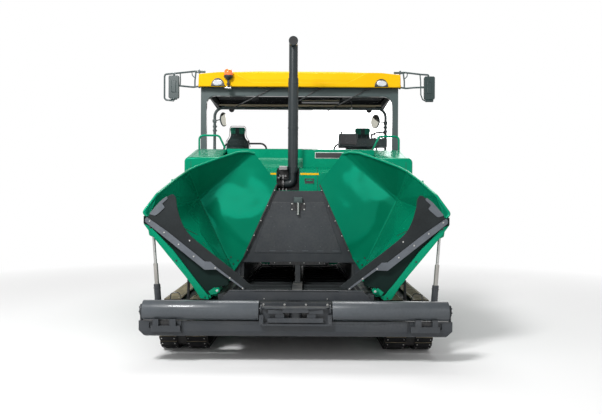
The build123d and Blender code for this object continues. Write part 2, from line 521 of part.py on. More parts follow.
for side, z, name in ((1, 150, "right"), (-1, 330, "left")):
    e = box(10, 1500, 6220, 6490, 0, 440) - box(24, 1486, 6236, 6474, 14, 426)
    e = e + box(1506, 1524, 5500, 6500, 4, 400) + box(1486, 1510, 6220, 6490, 4, 440)
    zz = z
    e = e + rod((-330, 6130, zz), (1508, 6130, zz), GUIDE_R)
    save("screed_extension_" + name, e if side > 0 else flip(e))

walk = box(-1480, 1480, 6070, LENGTH, 486, 512) + box(-1480, 1480, 5980, 6070, 474, 512)
for x in (-1400, -500, 460, 1360):
    walk = walk + box(x, x + 40, 6080, 6860, 466, 486)
save("screed_walkway", walk)

# ---------------------------------------------------------------- augers
screw = rod((66, AUGER_S, AUGER_Z), (1480, AUGER_S, AUGER_Z), 40)
for i in range(8):
    x = 120 + i * 185
    screw = screw + rod((x, AUGER_S, AUGER_Z), (x + 18, AUGER_S, AUGER_Z), AUGER_R)
pair("auger", screw)
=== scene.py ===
import bpy, bmesh, math, random
from math import sin, cos, radians, pi, hypot
from mathutils import Vector, Matrix


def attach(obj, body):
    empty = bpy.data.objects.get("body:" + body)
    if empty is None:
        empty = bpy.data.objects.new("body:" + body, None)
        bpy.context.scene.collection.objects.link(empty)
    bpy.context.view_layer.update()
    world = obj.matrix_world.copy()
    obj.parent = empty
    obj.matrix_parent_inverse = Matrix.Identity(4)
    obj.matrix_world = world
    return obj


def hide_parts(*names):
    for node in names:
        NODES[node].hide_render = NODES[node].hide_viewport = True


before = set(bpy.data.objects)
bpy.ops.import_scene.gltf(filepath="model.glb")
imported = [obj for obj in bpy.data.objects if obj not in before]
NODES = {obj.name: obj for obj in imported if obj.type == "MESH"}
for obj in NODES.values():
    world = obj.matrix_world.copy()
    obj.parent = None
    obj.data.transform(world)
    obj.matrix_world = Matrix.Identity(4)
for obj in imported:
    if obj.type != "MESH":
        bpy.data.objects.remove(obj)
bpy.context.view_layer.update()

random.seed(7)
RIDE = 50                # millimetres from the track soles up to the working datum z = 0
FRONT = -3.45            # metres: the push rollers' faces; a station s is measured rearward from it


def P(x, s, z):
    """millimetres (x, station, z) to metres in the shared frame"""
    return Vector((x / 1000.0, FRONT + s / 1000.0, (z + RIDE) / 1000.0))


# =============================================================== camera, light, floor
scene = bpy.context.scene
cam_data = bpy.data.cameras.new("camera")
cam = bpy.data.objects.new("camera", cam_data)
scene.collection.objects.link(cam)
cam_data.sensor_width = 36.0
cam_data.lens = 35.94
cam_data.shift_x = -0.0051
cam_data.shift_y = 0.0050
cam_data.clip_end = 200
cam.location = (0.077, FRONT - 5.8, 1.517)
cam.rotation_euler = (radians(90), radians(-0.33), 0)
scene.camera = cam
scene.view_settings.view_transform = "Standard"
scene.view_settings.look = "None"

world = bpy.data.worlds.new("studio")
scene.world = world
world.use_nodes = True
wnt = world.node_tree
bg = wnt.nodes["Background"]
bg.inputs["Color"].default_value = (1.0, 1.0, 1.0, 1)
wtc = wnt.nodes.new("ShaderNodeTexCoord")             # a bright band round the horizon under a dimmer sky
wxyz = wnt.nodes.new("ShaderNodeSeparateXYZ")
wmr = wnt.nodes.new("ShaderNodeMapRange")
for i, v in zip((1, 2, 3, 4), (0.34, 0.62, 1.0, 0.30)):
    wmr.inputs[i].default_value = v
wnt.links.new(wtc.outputs["Generated"], wxyz.inputs[0])
wnt.links.new(wxyz.outputs["Z"], wmr.inputs[0])
wnt.links.new(wmr.outputs[0], bg.inputs["Strength"])


def area(name, loc, target, size, power, size_y=None, shape="RECTANGLE"):
    d = bpy.data.lights.new(name, "AREA")
    d.shape = shape
    d.size, d.size_y = size, size_y or size
    d.energy = power
    o = bpy.data.objects.new(name, d)
    scene.collection.objects.link(o)
    o.location = loc
    o.rotation_euler = (Vector(target) - Vector(loc)).to_track_quat("-Z", "Y").to_euler()
    return o


area("key", (-4.2, -9.0, 8.2), (0, 0, 1.2), 2.2, 1250)
area("fill", (7.0, -9.0, 3.5), (0, 0, 1.5), 4.0, 70)
area("top", (0, 1.6, 9.0), (0, 0, 1.5), 4.0, 420)
area("back", (3.0, 9.0, 6.0), (0, 0, 1.5), 6.0, 260)
area("glint_left", (-1.53, -9.4, 1.78), (-0.72, -1.5, 1.64), 1.5, 8.5, 0.75, "ELLIPSE")
area("glint_right", (1.95, -9.4, 2.20), (1.0, -1.5, 1.85), 1.3, 7.5, 0.8, "ELLIPSE")


# =============================================================== materials
def _principled(name):
    m = bpy.data.materials.new(name)
    m.use_nodes = True
    nt = m.node_tree
    return m, nt, nt.nodes["Principled BSDF"]


def _noise(nt, scale, detail=4.0, rough=0.55, coord=None):
    n = nt.nodes.new("ShaderNodeTexNoise")
    n.inputs["Scale"].default_value = scale
    n.inputs["Detail"].default_value = detail
    n.inputs["Roughness"].default_value = rough
    if coord is None:
        coord = nt.nodes.new("ShaderNodeTexCoord").outputs["Object"]
    nt.links.new(coord, n.inputs["Vector"])
    return n


def _ramp(nt, src, stops):
    r = nt.nodes.new("ShaderNodeValToRGB")
    els = r.color_ramp.elements
    while len(els) < len(stops):
        els.new(0.5)
    for e, (p, c) in zip(els, stops):
        e.position = p
        e.color = (*c, 1) if len(c) == 3 else c
    nt.links.new(src, r.inputs["Fac"])
    return r


def _map(nt, src, a, b, c, d):
    r = nt.nodes.new("ShaderNodeMapRange")
    for i, v in zip((1, 2, 3, 4), (a, b, c, d)):
        r.inputs[i].default_value = v
    nt.links.new(src, r.inputs[0])
    return r.outputs[0]


def _mix(nt, fac, a, b):
    m = nt.nodes.new("ShaderNodeMix")
    m.data_type = "RGBA"
    if isinstance(fac, float):
        m.inputs["Factor"].default_value = fac
    else:
        nt.links.new(fac, m.inputs["Factor"])
    for sock, v in ((m.inputs[6], a), (m.inputs[7], b)):
        if isinstance(v, tuple):
            sock.default_value = (*v, 1)
        else:
            nt.links.new(v, sock)
    return m.outputs[2]


def _bump(nt, bsdf, height, strength, dist):
    b = nt.nodes.new("ShaderNodeBump")
    b.inputs["Strength"].default_value = strength
    b.inputs["Distance"].default_value = dist
    nt.links.new(height, b.inputs["Height"])
    nt.links.new(b.outputs[0], bsdf.inputs["Normal"])
    return b


def paint(name, color, rough=0.28, coat=0.6, var=0.12, edge=0.25, metallic=0.0, peel=0.012, dust=0.0, spec=0.3, tint=None, wave=0.0):
    """sprayed machine paint: slight tone drift, orange peel, worn edges, a little dust"""
    m, nt, b = _principled(name)
    coord = nt.nodes.new("ShaderNodeTexCoord").outputs["Object"]
    big = _noise(nt, 1.3, 3, 0.5, coord)
    dark = tuple(c * (1 - var) for c in color)
    lite = tuple(min(1, c * (1 + var * 0.6) + 0.002) for c in color)
    col = _ramp(nt, big.outputs["Fac"], [(0.32, dark), (0.68, lite)]).outputs["Color"]
    geo = nt.nodes.new("ShaderNodeNewGeometry")
    pt = _map(nt, geo.outputs["Pointiness"], 0.52, 0.60, 0.0, edge)
    fine = _noise(nt, 38, 5, 0.6, coord)
    mul = nt.nodes.new("ShaderNodeMath")
    mul.operation = "MULTIPLY"
    nt.links.new(pt, mul.inputs[0])
    nt.links.new(_map(nt, fine.outputs["Fac"], 0.35, 0.62, 0.2, 1.0), mul.inputs[1])
    col = _mix(nt, mul.outputs[0], col, tuple(min(1, c * 1.25 + 0.05) for c in color))
    if dust:
        dn = _noise(nt, 5.5, 6, 0.62, coord)
        up = nt.nodes.new("ShaderNodeSeparateXYZ")
        nt.links.new(geo.outputs["Normal"], up.inputs[0])
        f1 = nt.nodes.new("ShaderNodeMath")
        f1.operation = "MULTIPLY"
        nt.links.new(_map(nt, up.outputs["Z"], 0.1, 1.0, 0.15, 1.0), f1.inputs[0])
        nt.links.new(_map(nt, dn.outputs["Fac"], 0.42, 0.7, 0.0, dust), f1.inputs[1])
        col = _mix(nt, f1.outputs[0], col, (0.20, 0.19, 0.17))
    nt.links.new(col, b.inputs["Base Color"])
    rn = _noise(nt, 9, 6, 0.65, coord)
    nt.links.new(_map(nt, rn.outputs["Fac"], 0.3, 0.7, rough * 0.82, rough * 1.22), b.inputs["Roughness"])
    b.inputs["Metallic"].default_value = metallic
    b.inputs["Coat Weight"].default_value = coat
    b.inputs["Coat Roughness"].default_value = 0.08
    b.inputs["Specular IOR Level"].default_value = spec
    # tint colours the specular and coat sheen: painted colour on the reflections
    if tint:
        b.inputs["Specular Tint"].default_value = (*tint, 1)
        b.inputs["Coat Tint"].default_value = (*tint, 1)
    if wave:                                             # pressed panels are never quite flat
        pe = _noise(nt, 2.3, 1, 0.4, coord)
        _bump(nt, b, pe.outputs["Fac"], 1.0, wave)
    else:
        pe = _noise(nt, 150, 2, 0.5, coord)
        _bump(nt, b, pe.outputs["Fac"], peel, 0.002)
    return m


def steel(name, color, rough=0.4, scratch=60, metallic=0.9, stretch=(1, 1, 14), var=0.25):
    m, nt, b = _principled(name)
    tc = nt.nodes.new("ShaderNodeTexCoord").outputs["Object"]
    mp = nt.nodes.new("ShaderNodeMapping")
    mp.inputs["Scale"].default_value = stretch
    nt.links.new(tc, mp.inputs["Vector"])
    n = _noise(nt, scratch, 5, 0.6, mp.outputs[0])
    n2 = _noise(nt, 6, 5, 0.6, tc)
    col = _ramp(nt, n2.outputs["Fac"], [(0.3, tuple(c * (1 - var) for c in color)), (0.7, tuple(min(1, c * (1 + var)) for c in color))])
    nt.links.new(col.outputs["Color"], b.inputs["Base Color"])
    nt.links.new(_map(nt, n.outputs["Fac"], 0.3, 0.7, rough * 0.75, rough * 1.3), b.inputs["Roughness"])
    b.inputs["Metallic"].default_value = metallic
    _bump(nt, b, n.outputs["Fac"], 0.08, 0.002)
    return m


def rubber(name, color, rough=0.75, scale=90, bump=0.25, dust=None):
    m, nt, b = _principled(name)
    n = _noise(nt, scale, 6, 0.65)
    n2 = _noise(nt, 4, 4, 0.6)
    col = _ramp(nt, n2.outputs["Fac"], [(0.3, tuple(c * 0.75 for c in color)), (0.72, tuple(c * 1.35 for c in color))]).outputs["Color"]
    if dust:
        geo = nt.nodes.new("ShaderNodeNewGeometry")
        up = nt.nodes.new("ShaderNodeSeparateXYZ")
        nt.links.new(geo.outputs["Normal"], up.inputs[0])
        f1 = nt.nodes.new("ShaderNodeMath")
        f1.operation = "MULTIPLY"
        nt.links.new(_map(nt, up.outputs["Z"], 0.35, 0.85, 0.0, 1.0), f1.inputs[0])
        nt.links.new(_map(nt, _noise(nt, 7, 6, 0.62).outputs["Fac"], 0.3, 0.62, 0.45, 0.95), f1.inputs[1])
        col = _mix(nt, f1.outputs[0], col, dust)
    nt.links.new(col, b.inputs["Base Color"])
    b.inputs["Specular IOR Level"].default_value = 0.22
    nt.links.new(_map(nt, n.outputs["Fac"], 0.3, 0.7, rough * 0.85, min(1, rough * 1.15)), b.inputs["Roughness"])
    _bump(nt, b, n.outputs["Fac"], bump, 0.002)
    return m


def glass(name, tint=(1.0, 1.0, 1.0), rough=0.0):
    m, nt, b = _principled(name)
    b.inputs["Base Color"].default_value = (*tint, 1)
    b.inputs["Transmission Weight"].default_value = 1.0
    b.inputs["IOR"].default_value = 1.05
    n = _noise(nt, 2.5, 3, 0.5)
    nt.links.new(_map(nt, n.outputs["Fac"], 0.3, 0.8, rough, rough + 0.02), b.inputs["Roughness"])
    return m


def plastic(name, color, rough=0.45, grain=160, bump=0.12, coat=0.0):
    m, nt, b = _principled(name)
    n = _noise(nt, grain, 3, 0.6)
    n2 = _noise(nt, 3.2, 3, 0.5)
    col = _ramp(nt, n2.outputs["Fac"], [(0.3, tuple(c * 0.88 for c in color)), (0.7, tuple(min(1, c * 1.12) for c in color))])
    nt.links.new(col.outputs["Color"], b.inputs["Base Color"])
    nt.links.new(_map(nt, n2.outputs["Fac"], 0.3, 0.7, rough * 0.9, rough * 1.1), b.inputs["Roughness"])
    b.inputs["Coat Weight"].default_value = coat
    _bump(nt, b, n.outputs["Fac"], bump, 0.001)
    return m


def lens(name, color, rough=0.12, alpha=1.0, emit=0.0):
    m, nt, b = _principled(name)
    w = nt.nodes.new("ShaderNodeTexWave")
    w.inputs["Scale"].default_value = 60
    tc = nt.nodes.new("ShaderNodeTexCoord")
    nt.links.new(tc.outputs["Object"], w.inputs["Vector"])
    col = _ramp(nt, w.outputs["Fac"], [(0.2, tuple(c * 0.8 for c in color)), (0.8, color)])
    nt.links.new(col.outputs["Color"], b.inputs["Base Color"])
    b.inputs["Roughness"].default_value = rough
    b.inputs["Coat Weight"].default_value = 0.8
    if emit:
        b.inputs["Emission Color"].default_value = (*color, 1)
        b.inputs["Emission Strength"].default_value = emit
    _bump(nt, b, w.outputs["Fac"], 0.15, 0.002)
    return m


GREEN_RGB = (0.000, 0.190, 0.100)
# the green and yellow paints take tinted sheen: painted green and yellow reflections
GREEN = paint("green_paint", GREEN_RGB, rough=0.26, coat=0.04, spec=0.5, tint=(0.03, 0.75, 0.48), var=0.10, edge=0.20, dust=0.0)
# darker copy of the green paint for the wings' inside: painted shade on the hopper's facets
GREEN_WING_SHADED = paint("green_paint_wing_painted_shade", (0.0, 0.140, 0.073), rough=0.075, coat=0.03, wave=0.013, var=0.10, edge=0.12, dust=0.0, spec=0.7, tint=(0.02, 0.80, 0.52))
YELLOW = paint("yellow_paint", (0.68, 0.385, 0.005), rough=0.58, coat=0.0, tint=(1.0, 0.72, 0.10), var=0.05, edge=0.15, spec=0.08)
DARK = paint("dark_paint", (0.024, 0.028, 0.033), rough=0.46, coat=0.12, var=0.18, edge=0.35, peel=0.12, dust=0.30)
FRAME = paint("frame_paint", (0.020, 0.023, 0.026), rough=0.55, coat=0.05, var=0.2, edge=0.4, peel=0.15, dust=0.45)
ROLLER = paint("roller_paint", (0.052, 0.060, 0.068), rough=0.34, coat=0.15, var=0.22, edge=0.4, peel=0.06, dust=0.10)
POST = paint("post_paint", (0.040, 0.060, 0.060), rough=0.40, coat=0.2, var=0.12, edge=0.25, peel=0.06)
BLACK = paint("black_paint", (0.010, 0.010, 0.011), rough=0.36, coat=0.2, var=0.3, edge=0.35, peel=0.05)
LINING = rubber("lining", (0.018, 0.020, 0.021), 0.85, 60, 0.2)
TRACKM = steel("track_steel", (0.035, 0.034, 0.033), 0.66, 40, 0.35, (1, 1, 1), 0.35)
PAD = rubber("track_pad", (0.010, 0.010, 0.011), 0.8, 70, 0.35, (0.30, 0.255, 0.165))
WORN = steel("worn_steel", (0.33, 0.33, 0.335), 0.38, 50, 0.9, (1, 8, 1), 0.2)
STRIP = steel("strip_steel", (0.10, 0.112, 0.128), 0.45, 70, 0.45, (1, 1, 1), 0.15)
CHROME = steel("chrome", (0.75, 0.76, 0.78), 0.10, 120, 1.0, (1, 1, 1), 0.04)
ZINC = steel("zinc_bolt", (0.55, 0.55, 0.53), 0.32, 150, 0.95, (1, 1, 1), 0.12)
RUBBER = rubber("rubber_flap", (0.011, 0.014, 0.015), 0.72, 55, 0.2)
HOSE = rubber("hose", (0.012, 0.012, 0.013), 0.55, 120, 0.1)
PLASTIC = plastic("black_plastic", (0.016, 0.017, 0.018), 0.42)
PLATE = plastic("blank_plate", (0.012, 0.012, 0.014), 0.35, 60, 0.03, 0.3)
WHITEP = plastic("white_edge", (0.75, 0.75, 0.75), 0.4, 60, 0.03)
GLASS = glass("glass")
MIRROR = steel("mirror", (0.85, 0.87, 0.88), 0.03, 10, 1.0, (1, 1, 1), 0.02)
ORANGE = lens("orange_lens", (0.95, 0.16, 0.01), 0.15, emit=0.08)
LAMP = lens("white_lens", (0.50, 0.52, 0.55), 0.12, emit=0.05)
REDLENS = lens("red_lens", (0.6, 0.01, 0.01), 0.15)
TUBE = steel("grey_tube", (0.33, 0.32, 0.30), 0.36, 60, 0.75, (1, 1, 1), 0.12)
ROD = steel("piston_rod", (0.42, 0.42, 0.41), 0.30, 90, 0.85, (1, 1, 1), 0.08)
STACK = paint("stack_paint", (0.009, 0.015, 0.017), rough=0.42, coat=0.1, var=0.10, edge=0.2, peel=0.08)
BEIGE_HIGHLIGHT_AND_TRIM = plastic("beige_painted_highlight_and_trim", (0.30, 0.26, 0.17), 0.55, 120, 0.1)
MIRRORT = steel("round_mirror_glass", (0.55, 0.54, 0.47), 0.05, 10, 0.9, (1, 1, 1), 0.05)
TEAL = plastic("dark_teal_plastic", (0.010, 0.026, 0.026), 0.42)
LEATHER = rubber("seat_vinyl", (0.008, 0.021, 0.020), 0.50, 420, 0.16)
GREENCLOTH = rubber("seat_green", (0.004, 0.115, 0.068), 0.70, 520, 0.22)
SHIELD = steel("heat_shield", (0.20, 0.20, 0.20), 0.42, 60, 0.85, (1, 1, 1), 0.2)
HEAT = steel("heat_band", (0.62, 0.58, 0.50), 0.25, 60, 1.0, (1, 1, 1), 0.2)


# =============================================================== mesh building
def finish_mesh(bm, name, mat, body, angle=32, replaces=(), weighted=True, parent_mats=None):
    bm.normal_update()
    me = bpy.data.meshes.new(name)
    lim = radians(angle)
    for f in bm.faces:
        f.smooth = True
    for e in bm.edges:
        if len(e.link_faces) == 2:
            e.smooth = e.calc_face_angle(0.0) < lim
    bm.to_mesh(me)
    bm.free()
    o = bpy.data.objects.new(name, me)
    scene.collection.objects.link(o)
    for mm in (mat if isinstance(mat, (list, tuple)) else [mat]):
        me.materials.append(mm)
    if weighted:
        w = o.modifiers.new("wn", "WEIGHTED_NORMAL")
        w.keep_sharp = True
    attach(o, body)
    if replaces:
        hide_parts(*replaces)
    return o


class Maker:
    """collects bevelled solids in one mesh; mat picks a slot by index"""

    def __init__(self):
        self.bm = bmesh.new()

    def add(self, part, mat=0, matrix=None):
        if matrix is not None:
            part.transform(matrix)
        bmesh.ops.recalc_face_normals(part, faces=part.faces)
        tmp = bpy.data.meshes.new("tmp")
        for f in part.faces:
            f.material_index = mat
        part.to_mesh(tmp)
        part.free()
        self.bm.from_mesh(tmp)
        bpy.data.meshes.remove(tmp)

    def _bevel(self, part, width, seg, angle=20):
        if width <= 0:
            return
        part.normal_update()
        es = [e for e in part.edges if len(e.link_faces) == 2 and e.calc_face_angle(0) > radians(angle)]
        if es:
            bmesh.ops.bevel(part, geom=es, offset=width, offset_type="OFFSET", segments=seg, profile=0.5, affect="EDGES", clamp_overlap=True)

    def box(self, x0, x1, s0, s1, z0, z1, bevel=3, seg=2, mat=0, rot=None):
        part = bmesh.new()
        bmesh.ops.create_cube(part, size=1)
        a, b = P(x0, s0, z0), P(x1, s1, z1)
        c = (a + b) / 2
        d = b - a
        part.transform(Matrix.Diagonal((abs(d.x), abs(d.y), abs(d.z), 1)))
        self._bevel(part, bevel / 1000, seg)
        m = Matrix.Translation(c)
        if rot:
            m = m @ rot
        self.add(part, mat, m)

    def prism(self, profile, axis, a, b, bevel=3, seg=2, mat=0, angle=20):
        """profile in mm: axis 'x' (s, z), 'y' (x, z), 'z' (x, s); from a to b along the axis"""
        part = bmesh.new()
        f = {"x": lambda p, t: P(t, p[0], p[1]), "y": lambda p, t: P(p[0], t, p[1]), "z": lambda p, t: P(p[0], p[1], t)}[axis]
        lo = [part.verts.new(f(p, a)) for p in profile]
        hi = [part.verts.new(f(p, b)) for p in profile]
        n = len(profile)
        part.faces.new(lo)
        part.faces.new(list(reversed(hi)))
        for i in range(n):
            part.faces.new((lo[i], hi[i], hi[(i + 1) % n], lo[(i + 1) % n]))
        bmesh.ops.recalc_face_normals(part, faces=part.faces)
        self._bevel(part, bevel / 1000, seg, angle)
        self.add(part, mat)

    def ring(self, p, q, r, r2=None, seg=32, bevel=0, bseg=2, mat=0, caps=True):
        """cylinder or cone from p to q, both (x, s, z) in mm"""
        a, b = P(*p), P(*q)
        part = bmesh.new()
        d = b - a
        bmesh.ops.create_cone(part, cap_ends=caps, segments=seg, radius1=r / 1000, radius2=(r if r2 is None else r2) / 1000, depth=d.length)
        if bevel:
            part.normal_update()
            es = [e for e in part.edges if len(e.link_faces) == 2 and e.calc_face_angle(0) > radians(50)]
            bmesh.ops.bevel(part, geom=es, offset=bevel / 1000, segments=bseg, profile=0.5, affect="EDGES", clamp_overlap=True)
        m = Matrix.Translation((a + b) / 2) @ d.normalized().to_track_quat("Z", "Y").to_matrix().to_4x4()
        self.add(part, mat, m)

    def lathe(self, p, q, prof, seg=40, mat=0, closed=False):
        """prof: (radius, distance from p) in mm, turned about the axis from p to q"""
        a, b = P(*p), P(*q)
        part = bmesh.new()
        rows = []
        for r, t in prof:
            if r < 1e-6:
                rows.append([part.verts.new((0, 0, t / 1000))])
            else:
                rows.append([part.verts.new((r / 1000 * cos(2 * pi * i / seg), r / 1000 * sin(2 * pi * i / seg), t / 1000)) for i in range(seg)])
        pairs = list(zip(rows, rows[1:]))
        if closed:
            pairs.append((rows[-1], rows[0]))
        for u, v in pairs:
            for i in range(seg):
                j = (i + 1) % seg
                if len(u) == 1 and len(v) == 1:
                    continue
                if len(u) == 1:
                    part.faces.new((u[0], v[i], v[j]))
                elif len(v) == 1:
                    part.faces.new((u[i], u[j], v[0]))
                else:
                    part.faces.new((u[i], u[j], v[j], v[i]))
        d = b - a
        m = Matrix.Translation(a) @ d.normalized().to_track_quat("Z", "Y").to_matrix().to_4x4()
        self.add(part, mat, m)

    def tube(self, pts, r, bend=40, seg=16, mat=0, steps=7, caps=True):
        """round tube along (x, s, z) corners in mm, each corner rounded"""
        path = smooth_path([P(*p) for p in pts], bend / 1000, steps)
        self.sweep(path, r / 1000, seg, mat, caps)

    def sweep(self, path, r, seg=16, mat=0, caps=True):
        part = bmesh.new()
        n = len(path)
        tang = []
        for i in range(n):
            t = (path[min(i + 1, n - 1)] - path[max(i - 1, 0)]).normalized()
            tang.append(t)
        up = Vector((0, 0, 1)) if abs(tang[0].z) < 0.9 else Vector((1, 0, 0))
        nrm = (up - tang[0] * up.dot(tang[0])).normalized()
        rings = []
        for i in range(n):
            nrm = (nrm - tang[i] * nrm.dot(tang[i])).normalized()
            bn = tang[i].cross(nrm)
            rings.append([part.verts.new(path[i] + (nrm * cos(2 * pi * k / seg) + bn * sin(2 * pi * k / seg)) * r) for k in range(seg)])
        for u, v in zip(rings, rings[1:]):
            for k in range(seg):
                part.faces.new((u[k], u[(k + 1) % seg], v[(k + 1) % seg], v[k]))
        if caps:
            part.faces.new(list(reversed(rings[0])))
            part.faces.new(rings[-1])
        self.add(part, mat)

    def ball(self, c, r, mat=0, seg=20, scale=(1, 1, 1)):
        part = bmesh.new()
        bmesh.ops.create_uvsphere(part, u_segments=seg, v_segments=seg // 2, radius=r / 1000)
        self.add(part, mat, Matrix.Translation(P(*c)) @ Matrix.Diagonal((*scale, 1)))

    def bolt(self, p, n, r=9, h=8, mat=0, washer=True):
        """hexagon head on a washer; p in mm on the surface, n the way it points (x, y, z)"""
        n = Vector(n).normalized()
        c = P(*p)
        q = n.to_track_quat("Z", "Y").to_matrix().to_4x4()
        if washer:
            part = bmesh.new()
            bmesh.ops.create_cone(part, cap_ends=True, segments=18, radius1=r * 1.35 / 1000, radius2=r * 1.3 / 1000, depth=h * 0.3 / 1000)
            self.add(part, mat, Matrix.Translation(c + n * (h * 0.15 / 1000)) @ q)
        part = bmesh.new()
        bmesh.ops.create_cone(part, cap_ends=True, segments=6, radius1=r / 1000, radius2=r / 1000, depth=h / 1000)
        part.normal_update()
        es = [e for e in part.edges if e.calc_face_angle(0) > radians(70)]
        bmesh.ops.bevel(part, geom=es, offset=r * 0.12 / 1000, segments=1, affect="EDGES")
        self.add(part, mat, Matrix.Translation(c + n * (h * 0.3 + h * 0.5) / 1000) @ q)

    def flip_copy(self):
        """adds the mirror image across X = 0"""
        tmp = bpy.data.meshes.new("tmp")
        self.bm.to_mesh(tmp)
        part = bmesh.new()
        part.from_mesh(tmp)
        part.transform(Matrix.Diagonal((-1, 1, 1, 1)))
        bmesh.ops.reverse_faces(part, faces=part.faces)
        part.to_mesh(tmp)
        part.free()
        self.bm.from_mesh(tmp)
        bpy.data.meshes.remove(tmp)

    def mirrored(self):
        m = Maker()
        tmp = bpy.data.meshes.new("tmp")
        self.bm.to_mesh(tmp)
        m.bm.from_mesh(tmp)
        bpy.data.meshes.remove(tmp)
        m.bm.transform(Matrix.Diagonal((-1, 1, 1, 1)))
        bmesh.ops.reverse_faces(m.bm, faces=m.bm.faces)
        return m

    def done(self, name, body, mat, angle=32, replaces=(), slot=None, weighted=True):
        return finish_mesh(self.bm, name, mat, body, angle, replaces, weighted)


def both(maker, name, body, mat, replaces=None, slot=None, angle=32, weighted=True):
    """a right-hand piece and its mirror image; {} in names takes the side"""
    other = maker.mirrored()
    out = []
    for mk, side in ((maker, "right"), (other, "left")):
        out.append(mk.done(name + "_" + side, body.format(side), mat, angle, [r.format(side) for r in (replaces or [])], slot, weighted))
    return out


def smooth_path(pts, bend, steps=7):
    out = [pts[0]]
    for i in range(1, len(pts) - 1):
        a, b, c = pts[i - 1], pts[i], pts[i + 1]
        u, v = (a - b), (c - b)
        turn = pi - u.angle(v)
        if turn < 1e-3:
            continue
        cut = min(bend * math.tan(turn / 2), 0.48 * u.length, 0.48 * v.length)
        p, q = b + u.normalized() * cut, b + v.normalized() * cut
        for k in range(steps + 1):
            t = k / steps
            out.append((1 - t) ** 2 * p + 2 * t * (1 - t) * b + t * t * q)
    out.append(pts[-1])
    return out


def dress(node, mat, slot=None, bevel=0.0, seg=2, angle=30):
    """a CAD node that stays: its finish, with its sharp edges eased"""
    o = NODES[node]
    o.data.materials.clear()
    o.data.materials.append(mat)
    w = o.modifiers.new("weld", "WELD")
    w.merge_threshold = 0.00002
    if bevel:
        b = o.modifiers.new("edge", "BEVEL")
        b.width = bevel / 1000
        b.segments = seg
        b.limit_method = "ANGLE"
        b.angle_limit = radians(angle)
        b.use_clamp_overlap = True
        b.harden_normals = False
    return o


# =============================================================== floor
fm = Maker()
fm.box(-60000, 60000, -56000, 64000, -90, -51, bevel=0)
bmx = fm.bm
fme = bpy.data.meshes.new("floor")
bmx.to_mesh(fme)
bmx.free()
floor = bpy.data.objects.new("floor", fme)
scene.collection.objects.link(floor)
fmat, fnt, fb = _principled("floor")
fb.inputs["Base Color"].default_value = (0.70, 0.70, 0.70, 1)
fb.inputs["Roughness"].default_value = 0.8
fb.inputs["Specular IOR Level"].default_value = 0.1
# far from the machine the floor runs out into white
fgeo = fnt.nodes.new("ShaderNodeNewGeometry")
flen = fnt.nodes.new("ShaderNodeVectorMath")
flen.operation = "LENGTH"
fnt.links.new(fgeo.outputs["Position"], flen.inputs[0])
fem = fnt.nodes.new("ShaderNodeEmission")
fem.inputs["Color"].default_value = (1, 1, 1, 1)
fem.inputs["Strength"].default_value = 1.0
fmx = fnt.nodes.new("ShaderNodeMixShader")
fnt.links.new(_map(fnt, flen.outputs["Value"], 3.4, 9.0, 0.0, 1.0), fmx.inputs[0])
fnt.links.new(fb.outputs[0], fmx.inputs[1])
fnt.links.new(fem.outputs[0], fmx.inputs[2])
fnt.links.new(fmx.outputs[0], [n for n in fnt.nodes if n.type == "OUTPUT_MATERIAL"][0].inputs["Surface"])
fme.materials.append(fmat)

# =============================================================== CAD nodes that stay as they are
dress("main_frame", FRAME, bevel=3)
dress("conveyor_floor", FRAME, bevel=2)
dress("conveyors", FRAME)
dress("engine_block", FRAME, bevel=8)
dress("muffler", BLACK)
dress("rear_body", DARK, bevel=8)
dress("hood", GREEN, bevel=5)
dress("auger_case", DARK, bevel=5)
dress("operator_deck", DARK, bevel=3)
dress("side_tanks", GREEN, bevel=12)
dress("push_beam", DARK, bevel=4)
dress("hopper_rear_wall", DARK, bevel=3)
dress("front_apron", DARK, bevel=3)
dress("exhaust_pipe", BLACK)
dress("windscreen_frame", POST, bevel=6)
dress("windscreen_glass", GLASS)
dress("rear_hoop", POST)
dress("roof_canopy", YELLOW, bevel=8)
dress("operator_console", PLASTIC, bevel=12)
dress("seat_pedestals", PLASTIC, bevel=6)
dress("handrails", GREEN)
dress("deck_rails", DARK)
dress("lift_barrels", DARK)
dress("lift_rods", CHROME)
dress("tow_arms", GREEN, bevel=5)
dress("screed_frame", GREEN, bevel=4)
dress("screed_walkway", DARK, bevel=3)
for side in ("left", "right"):
    dress("push_roller_" + side, ROLLER, bevel=4)
    dress("hopper_wing_" + side, GREEN_WING_SHADED)
    dress("wing_frame_" + side, GREEN, bevel=3)
    dress("wing_flap_" + side, RUBBER, bevel=2)
    dress("wing_barrel_" + side, CHROME)
    dress("wing_rod_" + side, CHROME)
    dress("side_door_" + side, GREEN, bevel=3)
    dress("screed_extension_" + side, GREEN, bevel=4)
    dress("auger_" + side, WORN)
    dress("track_" + side, TRACKM)
    dress("track_frame_" + side, FRAME, bevel=3)
dress("seat_cushions", PLASTIC)
dress("seat_backs", PLASTIC)
dress("roof_mirrors", PLASTIC)
dress("roof_lamps", ORANGE)

# =============================================================== hopper wings
WING = {
    "A": (1548, 430, 1390), "B": (700, 430, 770), "J": (806, 430, 668), "H": (825, 1950, 672), "M": (1129, 1200, 1202),
    "P": (1272, 1950, 1602), "K": (702, 1950, 854), "C": (273, 1950, 1810), "T": (562, 1950, 2190),
    "r1": (1590, 430, 1432), "r2": (1471, 526, 1625), "r3": (1393, 953, 1785), "Q": (1317, 1440, 1937),
    "q2": (1228, 1550, 1998), "q3": (1011, 1700, 2100), "q4": (772, 1840, 2195), "q5": (649, 1910, 2210),
}
WING_FACES = ["B J H", "B H M", "A B M", "A M P", "P M H", "P H K", "P K C", "P C T",
              "A P r2", "A r2 r1", "P r3 r2", "P Q r3", "P q2 Q", "P q3 q2", "P q4 q3", "P q5 q4", "P T q5"]
WING_EDGE = ["B", "A", "r1", "r2", "r3", "Q", "q2", "q3", "q4", "q5", "T", "C", "K", "H", "J"]


